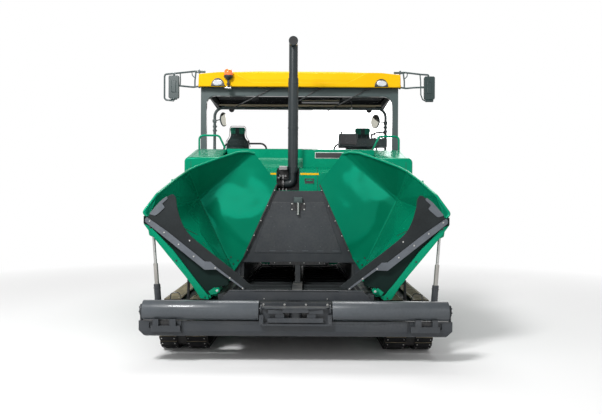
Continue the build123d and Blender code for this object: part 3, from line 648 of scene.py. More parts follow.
def wing_mesh():
    """the pressed shell: soft folds, 14 mm thick, eased rim"""
    bm = bmesh.new()
    mid = P(600, 1000, 1500)
    vs = {k: bm.verts.new(P(*v)) for k, v in WING.items()}
    for t in WING_FACES:
        f = bm.faces.new([vs[n] for n in t.split()])
        f.normal_update()
        if f.normal.dot(mid - f.calc_center_median()) < 0:
            f.normal_flip()
    bm.normal_update()
    es = [e for e in bm.edges if len(e.link_faces) == 2 and e.calc_face_angle(0) > radians(2.5)]
    bmesh.ops.bevel(bm, geom=es, offset=0.020, segments=4, profile=0.5, affect="EDGES", clamp_overlap=True)
    bm.normal_update()
    # thickness, away from the hopper
    inner = list(bm.faces)
    normals = {v: v.normal.copy() for v in bm.verts}
    back = {v: bm.verts.new(v.co - normals[v] * 0.014) for v in list(bm.verts)}
    rim = [e for e in bm.edges if len(e.link_faces) == 1]
    quads = []
    for e in rim:
        f = e.link_faces[0]
        for l in f.loops:
            if l.edge == e:
                a, b = l.vert, l.link_loop_next.vert
                quads.append((b, a, back[a], back[b]))
    for f in inner:
        bm.faces.new([back[v] for v in reversed(f.verts)])
    for q in quads:
        bm.faces.new(q)
    bm.normal_update()
    es = [e for e in bm.edges if len(e.link_faces) == 2 and e.calc_face_angle(0) > radians(60)]
    bmesh.ops.bevel(bm, geom=es, offset=0.0035, segments=2, profile=0.5, affect="EDGES", clamp_overlap=True)
    return bm


def facet_point(a, b, c, u, v, lift=0.0):
    """a point on the facet a b c (barycentric u, v), lifted into the hopper by mm"""
    A, B, C = (Vector(WING[k]) for k in (a, b, c))
    p = A + (B - A) * u + (C - A) * v
    n = (B - A).cross(C - A).normalized()
    if n.dot(Vector((600, 1000, 1500)) - p) < 0:
        n = -n
    return p + n * lift, n


wing = Maker()
shell = wing_mesh()
tmp = bpy.data.meshes.new("tmp")
for f in shell.faces:
    f.material_index = 0
shell.to_mesh(tmp)
shell.free()
wing.bm.from_mesh(tmp)
bpy.data.meshes.remove(tmp)
both(wing, "wing_shell", "hopper_wing_{}", GREEN_WING_SHADED, ["hopper_wing_{}"], angle=50)

# rim bead, slits, bolts, painted-shadow strip and outside stiffeners of the wing
w = Maker()
rim_pts = [WING[k] for k in ("A", "r1", "r2", "r3", "Q", "q2", "q3", "q4", "q5", "T")]
path = smooth_path([P(*p) for p in rim_pts], 0.05, 4)
w.sweep(path, 0.0145, 14, 0)


def strip_on(a, b, width, thick, n, mat):
    """flat bar from a to b (Vectors, mm), standing up by thick along n"""
    d = (b - a).normalized()
    side = d.cross(n).normalized() * (width / 2)
    part = bmesh.new()
    vs = []
    for p in (a, b):
        for sgn in (-1, 1):
            for h in (0, thick):
                q = p + side * sgn + n * h
                vs.append(part.verts.new(P(*q)))
    for f in ((0, 1, 3, 2), (4, 6, 7, 5), (0, 2, 6, 4), (1, 5, 7, 3), (0, 4, 5, 1), (2, 3, 7, 6)):
        part.faces.new([vs[i] for i in f])
    w.add(part, mat)


def lift(p, n, h):
    return Vector(p) + n * h


# slits above the rubber's edge
A, B, M, H, PP = (Vector(WING[k]) for k in ("A", "B", "M", "H", "P"))
inside = Vector((600, 1000, 1500))
nABM = (B - A).cross(M - A).normalized()
if nABM.dot(inside - A) < 0:
    nABM = -nABM


def on_abm(x, s):
    # plane through A with normal nABM: solve z
    z = A.z - (nABM.x * (x - A.x) + nABM.y * (s - A.y)) / nABM.z
    return Vector((x, s, z))


for (x0, s0), (x1, s1) in (((1275, 905), (1135, 1020)), ((1048, 905), (962, 832))):
    a, b = on_abm(x0, s0), on_abm(x1, s1)
    strip_on(a + nABM * 0.5, b + nABM * 0.5, 9, 2.5, nABM, 1)
# bolts on the rear facet near the floor
for x, z in ((862, 854), (894, 822), (772, 809), (830, 764)):
    w.bolt((x, 1950, z), (0, -1, 0), 8, 7, 1)
# clips along the edge against the hopper's rear wall, with a black strip behind them: painted shadow of the gap at the
# wall
C, K, T = (Vector(WING[k]) for k in ("C", "K", "T"))
d = (K - C).normalized()
out = Vector((-d.z, 0, d.x))
if out.x > 0:
    out = -out
for a, b in ((0.015, 0.985),):
    p, q = C.lerp(K, a), C.lerp(K, b)
    strip_on(p + out * 3 + Vector((0, 4, 0)), q + out * 3 + Vector((0, 4, 0)), 16, 8, Vector((0, -1, 0)), 1)
for t in (0.09, 0.30, 0.50, 0.70, 0.90):
    p = C.lerp(K, t) + out * 9
    w.box(p.x - 9, p.x + 9, 1938, 1950, p.z - 9, p.z + 9, 2, 1, 1)
    w.bolt((p.x, 1938, p.z), (0, -1, 0), 5, 5, 2)


def outside(k1, k2, width, depth, mat=0):
    """box stiffener along the shell's outer side, on the fold between two corners"""
    a, b = Vector(WING[k1]), Vector(WING[k2])
    d = (b - a).normalized()
    n = Vector((0, 0, 0))
    for t in WING_FACES:
        ks = t.split()
        if k1 in ks and k2 in ks:
            p, q, r = (Vector(WING[k]) for k in ks)
            m = (q - p).cross(r - p).normalized()
            n += m if m.dot((p + q + r) / 3 - inside) > 0 else -m
    n = (n - d * n.dot(d)).normalized()
    a, b = a.lerp(b, 0.05), a.lerp(b, 0.95)
    strip_on(a + n * 11, b + n * 11, width, depth, n, mat)


for k1, k2, wd, dp in (("P", "H", 80, 40), ("P", "r3", 60, 34), ("P", "T", 55, 30), ("A", "P", 60, 34), ("B", "H", 60, 30)):
    outside(k1, k2, wd, dp)
both(w, "wing_trim", "hopper_wing_{}", [GREEN, BLACK, ZINC], None)

# front end of the wing: ribbed plate, web painted near-black green as shade, hinge boxes and the cylinder's lug
wf = Maker()
RIB = [(1572, 1316), (1477, 1187), (1312, 990), (1280, 975), (1140, 795), (984, 552), (897, 541), (905, 585),
       (1007, 709), (1273, 1053), (1508, 1296)]
wf.prism(RIB, "y", 375, 416, 4, 2, 0)
# the plate behind the rib takes slot 1, near-black green: painted shade of the dark space behind the rubber sheet
wf.prism([(1580, 1396), (1580, 1320), (1500, 1262), (1273, 1053), (1007, 709), (905, 585), (868, 585), (840, 660), (700, 690),
          (700, 768), (1533, 1388)], "y", 404, 418, 1.5, 1, 1)
wf.prism([(1548, 1312), (1470, 1192), (1305, 1000), (1270, 985), (1132, 806), (990, 575), (1030, 640), (1160, 806), (1330, 1010), (1500, 1220)], "y", 371, 378, 2, 1, 0)
wf.box(880, 930, 404, 1935, 548, 588, 5, 2, 0)
for a, b in ((500, 700), (1050, 1250), (1740, 1900)):
    wf.lathe((825, a, 620), (825, b, 620), [(15.2, 0), (22, 0), (24, 2), (24, b - a - 2), (22, b - a), (15.2, b - a)], 28, 0, True)
    wf.box(826, 900, a + 5, b - 5, 560, 588, 3, 1, 0)
    wf.box(826, 848, a + 5, b - 5, 588, 640, 3, 1, 0)
LUG = [(1450, 1195), (1490, 1180), (1524, 1198), (1532, 1244), (1512, 1262), (1450, 1262)]
wf.prism(LUG, "y", 414, 436, 2, 1, 0)
wf.prism(LUG, "y", 484, 494, 2, 1, 0)
wf.box(1450, 1512, 430, 494, 1249, 1262, 2, 1, 0)
wf.ring((1490, 430, 1215), (1490, 498, 1215), 11, seg=20, mat=3)
wf.ring((1490, 494, 1215), (1490, 502, 1215), 17, seg=20, bevel=2, mat=3)
for x, z, r in ((1232, 940, 7), (936, 566, 6), (1500, 1278, 8)):
    wf.bolt((x, 371 if x == 1232 else 375, z), (0, -1, 0), r, 6, 2)
# green boss and bolt at the front hinge, with a short link
wf.ring((806, 330, 640), (806, 404, 640), 27, seg=28, bevel=4, mat=0)
wf.ring((806, 322, 640), (806, 332, 640), 13, seg=20, bevel=2, mat=3)
wf.prism([(806, 600), (880, 585), (905, 620), (840, 668)], "y", 392, 404, 2, 1, 0)
# near-black green web: painted shade; the plate itself is green paint
WEB_PAINTED_SHADE = paint("wing_web_painted_shade", (0.0018, 0.011, 0.0090), rough=0.62, coat=0.0, var=0.12, edge=0.0, peel=0.05, spec=0.14)
both(wf, "wing_front", "hopper_wing_{}", [GREEN, WEB_PAINTED_SHADE, BLACK, ZINC], ["wing_frame_{}"])

# rubber sheet, clamping strip and cover patch on the wing's front
FLAP = [(1492, 1437), (1283, 1640), (1236, 1589), (1231, 1506), (1199, 1381), (1148, 1267), (1075, 1183), (920, 1059),
        (733, 914), (624, 830), (442, 675), (546, 653), (1533, 1375)]


def smooth_poly(pts, idx, cut=0.3, steps=4):
    """rounds the listed corners of a closed outline"""
    out = []
    n = len(pts)
    for i, p in enumerate(pts):
        if i not in idx:
            out.append(p)
            continue
        a, b, c = Vector(pts[i - 1]), Vector(p), Vector(pts[(i + 1) % n])
        u, v = b.lerp(a, cut), b.lerp(c, cut)
        for k in range(steps + 1):
            t = k / steps
            q = (1 - t) ** 2 * u + 2 * t * (1 - t) * b + t * t * v
            out.append((q.x, q.y))
    return out


fl = Maker()
fl.prism(smooth_poly(FLAP, (1, 2, 3, 4, 5, 6, 7), 0.42, 4), "y", 362, 374, 1.5, 1, 0)
STRIP_TOP = [(1526, 1382), (1313.6, 1233.3), (937.4, 935), (874.9, 930.9), (827.7, 887.9), (529.5, 660.3)]
STRIP_LOW = [(536.6, 645), (819.5, 852), (937.4, 849), (1548.3, 1334.8), (1552, 1358), (1543, 1378)]
fl.prism(STRIP_TOP + STRIP_LOW, "y", 352, 362.5, 2, 2, 1)
fl.prism(smooth_poly([(1333, 1601.3), (1317.7, 1577.7), (1376.1, 1523.4), (1348.4, 1483.4), (1446.8, 1397.3), (1513.5, 1416.8), (1399.7, 1547)],
                     (0, 1, 3, 4, 5), 0.2, 3), "y", 355, 362.5, 2, 2, 1)
for x, z in ((1503, 1345), (1355, 1230), (1206, 1108), (1050, 985), (829, 868), (548, 661), (680, 768)):
    fl.bolt((x, 352, z), (0, -1, 0), 6, 5, 2)
fl.bolt((1095, 362, 1146), (0, -1, 0), 6, 4, 2)
both(fl, "wing_sheet", "hopper_wing_{}", [RUBBER, STRIP, ZINC], ["wing_flap_{}"])

# wing cylinders
wc = Maker()
foot, eye = Vector((1416, 460, 218)), Vector((1490, 460, 1215))
u = (eye - foot).normalized()


def on(t):
    return tuple(foot + u * t)


wc.lathe(on(0), on(1000), [(0, 36), (30, 38), (34, 44), (34, 466), (30, 474), (20, 474), (20, 400)], 36, 0)
wc.lathe(on(0), on(1000), [(20, 470), (22, 470), (23, 474), (23, 683), (21.5, 687), (20, 687)], 36, 1)
wc.lathe((1416, 440, 218), (1416, 480, 218), [(15.5, 0), (32, 0), (34, 3), (34, 37), (32, 40), (15.5, 40)], 30, 0, True)
wc.lathe(on(0), on(1000), [(33, 430), (37, 430), (38, 431), (38, 436), (37, 437), (33, 437)], 36, 0, True)
wc.tube([tuple(foot + u * 130 + Vector((0, 30, 0))), tuple(foot + u * 130 + Vector((0, 56, 0))), tuple(foot + u * 420 + Vector((0, 56, 0))), tuple(foot + u * 420 + Vector((0, 30, 0)))], 6, 18, 10, 0)
both(wc, "wing_cylinder", "wing_barrel_{}", [DARK, TUBE], ["wing_barrel_{}"])
wc = Maker()
wc.lathe(on(0), on(1000), [(0, 342), (13, 342), (15.5, 345), (15.5, 984), (0, 984)], 30, 0)
wc.lathe((1490, 444, 1215), (1490, 476, 1215), [(18, 0), (25, 0), (27, 2), (27, 30), (25, 32), (18, 32)], 30, 0, True)
both(wc, "wing_piston", "wing_rod_{}", ROD, ["wing_rod_{}"])

# =============================================================== tracks: shoes, pads and links round the loop
TRACK_WHEELS = [(790, 222, 272), (3760, 140, 190), (4200, 312, 262)]


def loop_segments(circles):
    n = len(circles)
    tang = []
    for i in range(n):
        (a, b, r), (c, d, q) = circles[i], circles[(i + 1) % n]
        th = math.atan2(d - b, c - a) - math.acos((r - q) / hypot(c - a, d - b))
        tang.append(((a + r * cos(th), b + r * sin(th)), (c + q * cos(th), d + q * sin(th)), th))
    segs = []
    for i in range(n):
        p, q, th = tang[i]
        segs.append(("l", p, q, th, hypot(q[0] - p[0], q[1] - p[1])))
        a, b, r = circles[(i + 1) % n]
        t1 = tang[(i + 1) % n][2]
        while t1 < th:
            t1 += 2 * pi
        segs.append(("a", (a, b), r, th, t1, r * (t1 - th)))
    return segs


def loop_at(segs, dist):
    for sg in segs:
        if dist <= sg[-1]:
            if sg[0] == "l":
                k = dist / sg[-1]
                return (sg[1][0] + (sg[2][0] - sg[1][0]) * k, sg[1][1] + (sg[2][1] - sg[1][1]) * k, sg[3], 0)
            th = sg[3] + dist / sg[2]
            return (sg[1][0] + sg[2] * cos(th), sg[1][1] + sg[2] * sin(th), th, sg[2])
        dist -= sg[-1]
    return loop_at(segs, 0)


segs = loop_segments(TRACK_WHEELS)
total = sum(sg[-1] for sg in segs)
SHOES = 54
pitch = total / SHOES
tr = Maker()
for i in range(SHOES):
    s0, z0, th, r = loop_at(segs, (i + 0.35) * pitch)
    n, t = (cos(th), sin(th)), (-sin(th), cos(th))
    sink = (pitch * 0.46) ** 2 / (2 * r) if r else 0.0

    def block(x0, x1, ta, tb, na, nb, bevel, mat, taper=0.0):
        prof = [(s0 + t[0] * a - n[0] * (b + sink), z0 + t[1] * a - n[1] * (b + sink)) for a, b in
                ((ta, nb), (tb, nb), (tb - taper, na), (ta + taper, na))]
        tr.prism(prof, "x", x0, x1, bevel, 1, mat)

    w = pitch / 2 - 4
    block(942, 1448, -w, w, 36, 50, 2, 0)                       # shoe plate
    for x0, x1 in ((948, 1166), (1264, 1446)):
        block(x0, x1, -w + 7, -10, 0, 36, 4, 1, 5)              # rubber pad, two bars with a groove between
        block(x0, x1, 10, w - 7, 0, 36, 4, 1, 5)
        block(x0 + 2, x1 - 2, -12, 12, 9, 36, 0, 1)
        for x in (x0 + 24, x1 - 24):
            for ta in (-38, 38):
                p = (x, s0 + t[0] * ta - n[0] * (sink + 1), z0 + t[1] * ta - n[1] * (sink + 1))
                tr.bolt(p, (0, n[0], n[1]), 7, 4, 2, False)
    for x0 in (1136, 1238):                                     # chain links
        block(x0, x0 + 20, -w + 3, w - 3, 50, 90, 3, 0)
    a = loop_at(segs, ((i + 0.85) * pitch) % total)
    nn = (cos(a[2]), sin(a[2]))
    tr.ring((1128, a[0] - nn[0] * 70, a[1] - nn[1] * 70), (1266, a[0] - nn[0] * 70, a[1] - nn[1] * 70), 15, seg=12, mat=0)
both(tr, "track_chain", "chassis", [TRACKM, PAD, ZINC], ["track_{}"])

# running gear: rims, hub caps and sprocket teeth
tg = Maker()
for s0, z0, r in [(790, 222, 176), (3760, 140, 94)] + [(1240 + 360 * i, 126, 80) for i in range(7)]:
    tg.lathe((1279, s0, z0), (1300, s0, z0), [(0, 0), (r + 3, 0), (r + 3, 8), (r - 8, 14), (r - 16, 10), (34, 10), (30, 26), (22, 32), (0, 33)], 30, 0)
    tg.lathe((1111, s0, z0), (1090, s0, z0), [(0, 0), (r + 3, 0), (r + 3, 8), (r - 8, 14), (r - 16, 10), (34, 10), (30, 26), (0, 27)], 30, 0)
    for k in range(6):
        a = k * pi / 3
        rr = min(r * 0.62, 60)
        tg.bolt((1290, s0 + rr * cos(a), z0 + rr * sin(a)), (1, 0, 0), 7, 5, 1, False)
for k in range(16):
    a = 2 * pi * k / 16
    c, d = cos(a), sin(a)
    pts = [(160, -22), (160, 22), (174, 9), (174, -9)]
    tg.prism([(4200 + u * c - v * d, 312 + u * d + v * c) for u, v in pts], "x", 1178, 1214, 2, 1, 0)
tg.lathe((1330, 4200, 312), (1352, 4200, 312), [(0, 0), (108, 0), (104, 8), (70, 10), (64, 20), (0, 22)], 40, 0)
for k in range(12):
    a = 2 * pi * k / 12
    tg.bolt((1338, 4200 + 88 * cos(a), 312 + 88 * sin(a)), (1, 0, 0), 8, 6, 1, False)
both(tg, "track_wheels", "chassis", [FRAME, ZINC], None)

# =============================================================== push beam details
pb = Maker()
for x in (-321, -111, 101, 314):
    pb.bolt((x, 150, 529), (0, -1, 0), 8, 6, 1)
pb.ring((0, 104, 471), (0, 104, 483), 46, seg=32, bevel=3, mat=0)
# black plate behind the centre boss: painted shade in its recess
pb.box(-108, 108, 108, 112, 420, 470, 0, 1, 2)
for x in (-290, 290):
    for z in (351,):
        pb.bolt((x, 10, z + 1), (0, -1, 0), 6, 4, 0)
for sx in (-1, 1):
    for z in (370, 430):
        pb.bolt((sx * 332, 12, z), (0, -1, 0), 9, 6, 0)
    # bolts round the roller ends
    for k in range(6):
        a = k * pi / 3 + 0.3
        pb.bolt((sx * 1518, 95 + 42 * cos(a), 482 + 42 * sin(a)), (sx, 0, 0), 8, 7, 0)
        pb.bolt((sx * 332, 95 + 42 * cos(a), 482 + 42 * sin(a)), (-sx, 0, 0), 7, 4, 0, False)
    pb.ring((sx * 1516, 95, 482), (sx * 1526, 95, 482), 20, seg=24, bevel=3, mat=0)
    # black plate in the hollow between the lugs: painted shade; weld seam along the beam
    pb.box(sx * 1322, sx * 1226, 58, 63, 340, 379, 0, 1, 2)
    pb.box(sx * 1400, sx * 1376, 40, 61, 285, 300, 4, 1, 0)
    pb.tube([(sx * 1086, 58.5, 372), (sx * 760, 58.5, 352), (sx * 380, 58.5, 352)], 2.2, 30, 6, 0)
    # small end brackets
    pb.box(sx * 1519, sx * 1531, 70, 160, 300, 372, 4, 2, 0)
pb.done("push_beam_trim", "push_bar", [DARK, ZINC, BLACK])
ra = Maker()
for x in (-322, 317):
    ra.bolt((x, 296, 566), (0, -1, 0), 6, 5, 0, False)
ra.box(-684, 684, 293, 312, 636, 652, 4, 2, 1)
ra.tube([(-430, 290, 650), (430, 290, 650)], 5, 20, 8, 1)
ra.done("apron_trim", "chassis", [ZINC, DARK])

# loops, hose ends and dark brackets beside the front of the tracks
lp = Maker()
lp.tube([(1330, 560, 508), (1330, 552, 580), (1240, 552, 590), (1210, 556, 505)], 5, 30, 10, 0)
lp.box(1196, 1222, 900, 930, 470, 690, 4, 1, 1)
lp.box(860, 1196, 900, 930, 640, 668, 4, 1, 1)
both(lp, "front_hooks", "chassis", [DARK, FRAME], None)

# =============================================================== hopper floor: dark deck plates, chains and slats
cv = Maker()
for sx in (1, -1):
    a, b = sorted((sx * 66, sx * 678))
    cv.box(a, b, 345, 4936, 471, 484, 1, 1, 0)
    for x in (sx * 92, sx * 652):
        cv.box(x - 16, x + 16, 350, 4930, 484, 494, 3, 1, 1)
    s0 = 400
    while s0 < 4900:
        cv.prism([(s0, 484), (s0 + 34, 484), (s0 + 26, 500), (s0 + 8, 500)], "x", a + 6, b - 6, 1.5, 1, 1)
        s0 += 310
cv.done("conveyor_chains", "chassis", [LINING, RUBBER], replaces=["conveyors"])

# =============================================================== hopper rear wall: sensor, bolts, seams
rw = Maker()
rw.box(-58, 56, 1938, 1982, 1556, 1634, 9, 3, 0)
rw.box(-40, 38, 1931, 1942, 1572, 1618, 4, 2, 0)
rw.box(-96, 94, 1974, 1981, 1462, 1562, 2, 1, 2)
rw.box(-36, 34, 1952, 1978, 1500, 1560, 5, 2, 2)
rw.ring((0, 1950, 1412), (0, 1950, 1560), 15, seg=24, bevel=3, mat=4)
rw.ring((0, 1950, 1404), (0, 1950, 1424), 20, seg=24, bevel=4, mat=4)
for x in (-80, 78):
    for z in (1474, 1547):
        rw.bolt((x, 1974, z), (0, -1, 0), 7, 5, 1)
for z, xs in ((1511, (-214, 210)), (1254, (-309, -108, 92, 300)), (992, (-309, -111, 95, 293)), (1380, (-350, 350)), (1650, (-330, 330))):
    for x in xs:
        rw.bolt((x, 1980 if 911 < z < 1566 else 1986, z), (0, -1, 0), 4.5, 3, 3, False)
for x in (-330, -105, 95, 287, 487):
    rw.box(x - 40, x + 40, 1978.5, 1981, 936, 941, 0, 1, 3)
# flaps over the tunnel mouths, with their bolted bar
rw.box(-360, 340, 1984, 1990, 752, 798, 3, 1, 2)
for x in (-300, -100, 80, 280):
    rw.bolt((x, 1984, 782), (0, -1, 0), 6, 4, 1, False)
rw.done("hopper_wall_trim", "chassis", [POST, ZINC, BLACK, STRIP, ROD])

# =============================================================== hood, silencer, plate
hd = Maker()
# black plates lining the silencer's recess: painted shade in the recess
hd.box(-287.5, -284, 2104, 2429, 1717, 1990, 0, 1, 1)
hd.box(8, 11.5, 2104, 2429, 1717, 1990, 0, 1, 1)
hd.box(-286, 10, 2425, 2429.5, 1717, 2040, 0, 1, 1)
hd.box(-286, 10, 2104, 2428, 1716.5, 1719.5, 0, 1, 1)
# blank plate with a light edge, on the upright box
hd.box(223, 670, 2440, 2449, 2177, 2260, 2, 1, 2)
hd.box(229, 664, 2437, 2442, 2183, 2254, 1.5, 1, 3)
# yellow pinstripe
hd.box(-366, -292, 2096.5, 2100.5, 1929, 1953, 0, 1, 4)
hd.box(26, 268, 2096.5, 2100.5, 1929, 1953, 0, 1, 4)
# recessed catch and air grille
hd.box(76, 212, 2096, 2101, 1806, 1890, 3, 1, 0)
hd.box(84, 204, 2094.5, 2098, 1814, 1882, 3, 1, 1)
hd.box(100, 188, 2088, 2097, 1850, 1866, 4, 2, 0)
# panel gaps
hd.box(248, 252, 2097.5, 2101, 1716, 1952, 0, 1, 1)
hd.prism([(2101, 1957), (2446, 2054), (2446, 2056), (2101, 1959)], "x", 248, 252, 0, 1, 1)
for sx in (1, -1):
    a, b = sorted((sx * 1408, sx * 1412))
    hd.box(a, b, 2077.5, 2081, 1060, 2108, 0, 1, 1)
    hd.prism([(2081, 2151), (2800, 2331), (2800, 2332.5), (2081, 2152.5)], "x", a, b, 0, 1, 1)
    hd.box(a, b, 2800, 3049, 2330, 2331.5, 0, 1, 1)
    a, b = sorted((sx * 1033, sx * 1037))
    hd.prism([(2081, 2151), (2800, 2331), (2800, 2332.5), (2081, 2152.5)], "x", a, b, 0, 1, 1)
    # rubber buffers
    hd.ring((sx * 1240, 2079, 2060), (sx * 1240, 2062, 2060), 20, 17, 20, 2, 2, 1)
hd.box(-1030, 50, 2760, 2764, 2334, 2336.5, 0, 1, 1)
hd.box(56, 1030, 2620, 2624, 2315, 2320, 0, 1, 1)
# catches on the rear edge of the hood
for x in (-700, -300, 400, 800):
    hd.box(x - 30, x + 30, 3010, 3040, 2334, 2344, 3, 1, 1)
hd.done("hood_trim", "chassis", [GREEN, BLACK, WHITEP, PLATE, YELLOW])

mf = Maker()
mf.lathe((-830, 2300, 1820), (-240, 2300, 1820), [(0, 0), (92, 0), (100, 8), (100, 582), (92, 590), (0, 590)], 44, 0)
mf.lathe((-240, 2300, 1820), (-214, 2300, 1820), [(0, 0), (72, 0), (72, 26), (0, 26)], 36, 0)
mf.done("silencer", "chassis", [BLACK], replaces=["muffler"])
ms = Maker()
# shiny shield over the outlet, V-band clamp with its bolt
ms.prism([(2180, 1998), (2180, 2042), (2196, 2052), (2400, 2052), (2400, 2040), (2206, 2040), (2194, 2034), (2194, 1998)], "x", -258, -150, 2, 1, 0)
ms.lathe((-213, 2300, 1820), (-197, 2300, 1820), [(61, 0), (82, 0), (86, 3), (86, 13), (82, 16), (61, 16)], 40, 0, True)
ms.box(-216, -194, 2196, 2216, 1880, 1935, 3, 1, 0)
ms.ring((-240, 2204, 1918), (-168, 2204, 1918), 6, seg=12, mat=0)
for x in (-246, -172):
    ms.box(x - 12, x + 12, 2190, 2206, 1906, 1934, 3, 1, 0)
for x in (-250, -205, -160):
    ms.bolt((x, 2130, 1722), (0, 0, 1), 9, 8, 0)
    ms.box(x - 9, x + 9, 2106, 2124, 1720, 1746, 2, 1, 0)
ms.done("silencer_clamp", "chassis", [SHIELD])
st = Maker()
path = smooth_path([P(*p) for p in ((-212, 2300, 1820), (-77, 2300, 1820), (-77, 2300, 3712), (-77, 2165, 3712))], 0.085, 12)
st.sweep(path, 0.060, 40, 0)
st.lathe((-77, 2300, 1960), (-77, 2300, 3240), [(60, 0), (66, 0), (68, 4), (68, 1276), (66, 1280), (60, 1280)], 40, 0, True)
st.lathe((-77, 2158, 3712), (-77, 2172, 3712), [(52, 0), (60, 0), (62, 3), (62, 11), (60, 14), (52, 14)], 36, 0, True)
st.lathe((-77, 2157.5, 3712), (-77, 2164, 3712), [(0, 3), (53, 3)], 36, 1)
for z in (2030, 2560, 3160):
    st.lathe((-77, 2300, z), (-77, 2300, z + 22), [(67, 0), (71, 1), (71, 21), (67, 22)], 40, 0, True)
st.done("exhaust_stack", "chassis", [STACK, BLACK], replaces=["exhaust_pipe"])

# =============================================================== roof: two tones, cheeks beside the recessed front panel
def two_tone(node, outer, inner, centre, tone=None):
    """faces that look at the centre take the lining"""
    o = NODES[node]
    o.data.materials.clear()
    o.data.materials.append(outer)
    o.data.materials.append(inner)
    mw = o.matrix_world
    for f in o.data.polygons:
        c = mw @ f.center
        n = (mw.to_3x3() @ f.normal).normalized()
        f.material_index = 1 if n.dot(centre(c) - c) > 0.002 or n.z < -0.45 else 0


two_tone("roof_canopy", YELLOW, LINING, lambda c: P(max(-1350, min(1350, c.x * 1000)), max(3240, min(4900, (c.y - FRONT) * 1000)), 3360))
rf = Maker()
for sx in (1, -1):
    pts = [(697, 3347), (1006, 3500), (1200, 3499), (1490, 3470), (1490, 3285), (697, 3285)]
    rf.prism([(sx * x, z) for x, z in pts], "y", 3066, 3140, 13, 4, 0)
rf.box(-720, 720, 3066, 3140, 3285, 3349, 13, 4, 0)
rf.done("roof_fascia", "roof", [YELLOW])
rl = Maker()
# dark headlining panels with seams, beige tube painted as a highlight, ceiling box with a beige strip, rear lamps
for x0, x1 in ((-1440, -730), (-720, -10), (0, 720), (730, 1440)):
    rl.box(x0 + 4, x1 - 4, 3270, 4860, 3452 - (40 if abs(x0 + x1) > 1500 else 0), 3458 - (40 if abs(x0 + x1) > 1500 else 0), 2, 1, 0)
for s0 in (3560, 4000, 4440):
    rl.box(-1430, 1430, s0 - 12, s0 + 12, 3392, 3424, 6, 2, 1)
for sx in (1, -1):
    rl.box(*sorted((sx * 1452, sx * 1466)), 3240, 4960, 3285, 3400, 4, 2, 1)
    rl.lathe((sx * 1240, 5046, 3274), (sx * 1240, 5058, 3274), [(0, 0), (50, 0), (50, 8), (44, 12), (0, 13)], 28, 1)
    rl.lathe((sx * 1240, 5056, 3274), (sx * 1240, 5064, 3274), [(0, 0), (38, 0), (34, 4), (0, 5)], 28, 2)
    rl.box(sx * 1240 - 60, sx * 1240 + 60, 4950, 5040, 3272, 3330, 10, 3, 1)
rl.box(26, 655, 4180, 4330, 3262, 3345, 14, 3, 1)
rl.box(40, 641, 4172, 4182, 3278, 3290, 3, 2, 4)
# beige tube across the roof's rear: painted highlight
rl.ring((-1390, 4470, 3256), (1390, 4470, 3256), 13, seg=24, bevel=3, mat=4)
for sx in (1, -1):
    rl.box(*sorted((sx * 1386, sx * 1404)), 4440, 4500, 3236, 3300, 4, 2, 1)
for x in (-400, 420):
    rl.box(x - 40, x + 40, 4700, 4780, 3300, 3330, 6, 2, 1)
    rl.lathe((x, 4740, 3302), (x, 4740, 3290), [(0, 0), (34, 0), (30, 8), (0, 12)], 24, 5)
# small camera hung under the lining
rl.tube([(860, 4250, 3380), (860, 4250, 3190)], 6, 10, 10, 1)
rl.box(838, 882, 4215, 4275, 3150, 3192, 8, 3, 1)
rl.lathe((860, 4216, 3171), (860, 4206, 3171), [(0, 0), (15, 0), (13, 8), (0, 10)], 20, 5)
rl.done("roof_lining", "roof", [LINING, PLASTIC, REDLENS, WHITEP, BEIGE_HIGHLIGHT_AND_TRIM, LAMP])

lm = Maker()
for sx in (1, -1):
    arch = [(100 * cos(pi * k / 18), 3288 + 118 * sin(pi * k / 18)) for k in range(19)]
    lm.prism([(sx * 1207 + u, v) for u, v in arch], "y", 3054, 3072, 5, 2, 0)
    ell = [(66 * cos(2 * pi * k / 36), 3336 + 37 * sin(2 * pi * k / 36)) for k in range(36)]
    lm.prism([(sx * 1209 + u, v) for u, v in ell], "y", 3040, 3058, 8, 4, 1)
    lm.prism([(sx * 1209 + u * 1.12, 3334 + (v - 3334) * 1.16) for u, v in ell], "y", 3047, 3056, 2, 1, 2)
lm.done("roof_headlamps", "roof", [PLASTIC, LAMP, CHROME])
be = Maker()
be.lathe((-1046, 3030, 3436), (-1046, 3030, 3530), [(0, 0), (62, 0), (63, 6), (63, 50), (58, 72), (44, 87), (22, 93), (0, 94)], 40, 1)
be.lathe((-1046, 3030, 3376), (-1046, 3030, 3440), [(0, 0), (30, 0), (46, 12), (64, 34), (67, 44), (67, 60), (60, 64), (0, 64)], 40, 0)
be.ring((-1046, 3030, 3262), (-1046, 3030, 3380), 15, seg=20, mat=0)
be.lathe((-1046, 3030, 3300), (-1046, 3030, 3330), [(15, 0), (24, 2), (24, 26), (15, 30)], 24, 0, True)
be.box(-1092, -1000, 3012, 3086, 3246, 3258, 3, 2, 2)
be.box(-1080, -1012, 3074, 3086, 3250, 3300, 3, 2, 2)
for x in (-1078, -1014):
    be.bolt((x, 3030, 3258), (0, 0, 1), 8, 7, 2)
be.done("roof_beacon", "roof", [PLASTIC, ORANGE, ZINC], replaces=["roof_lamps"])

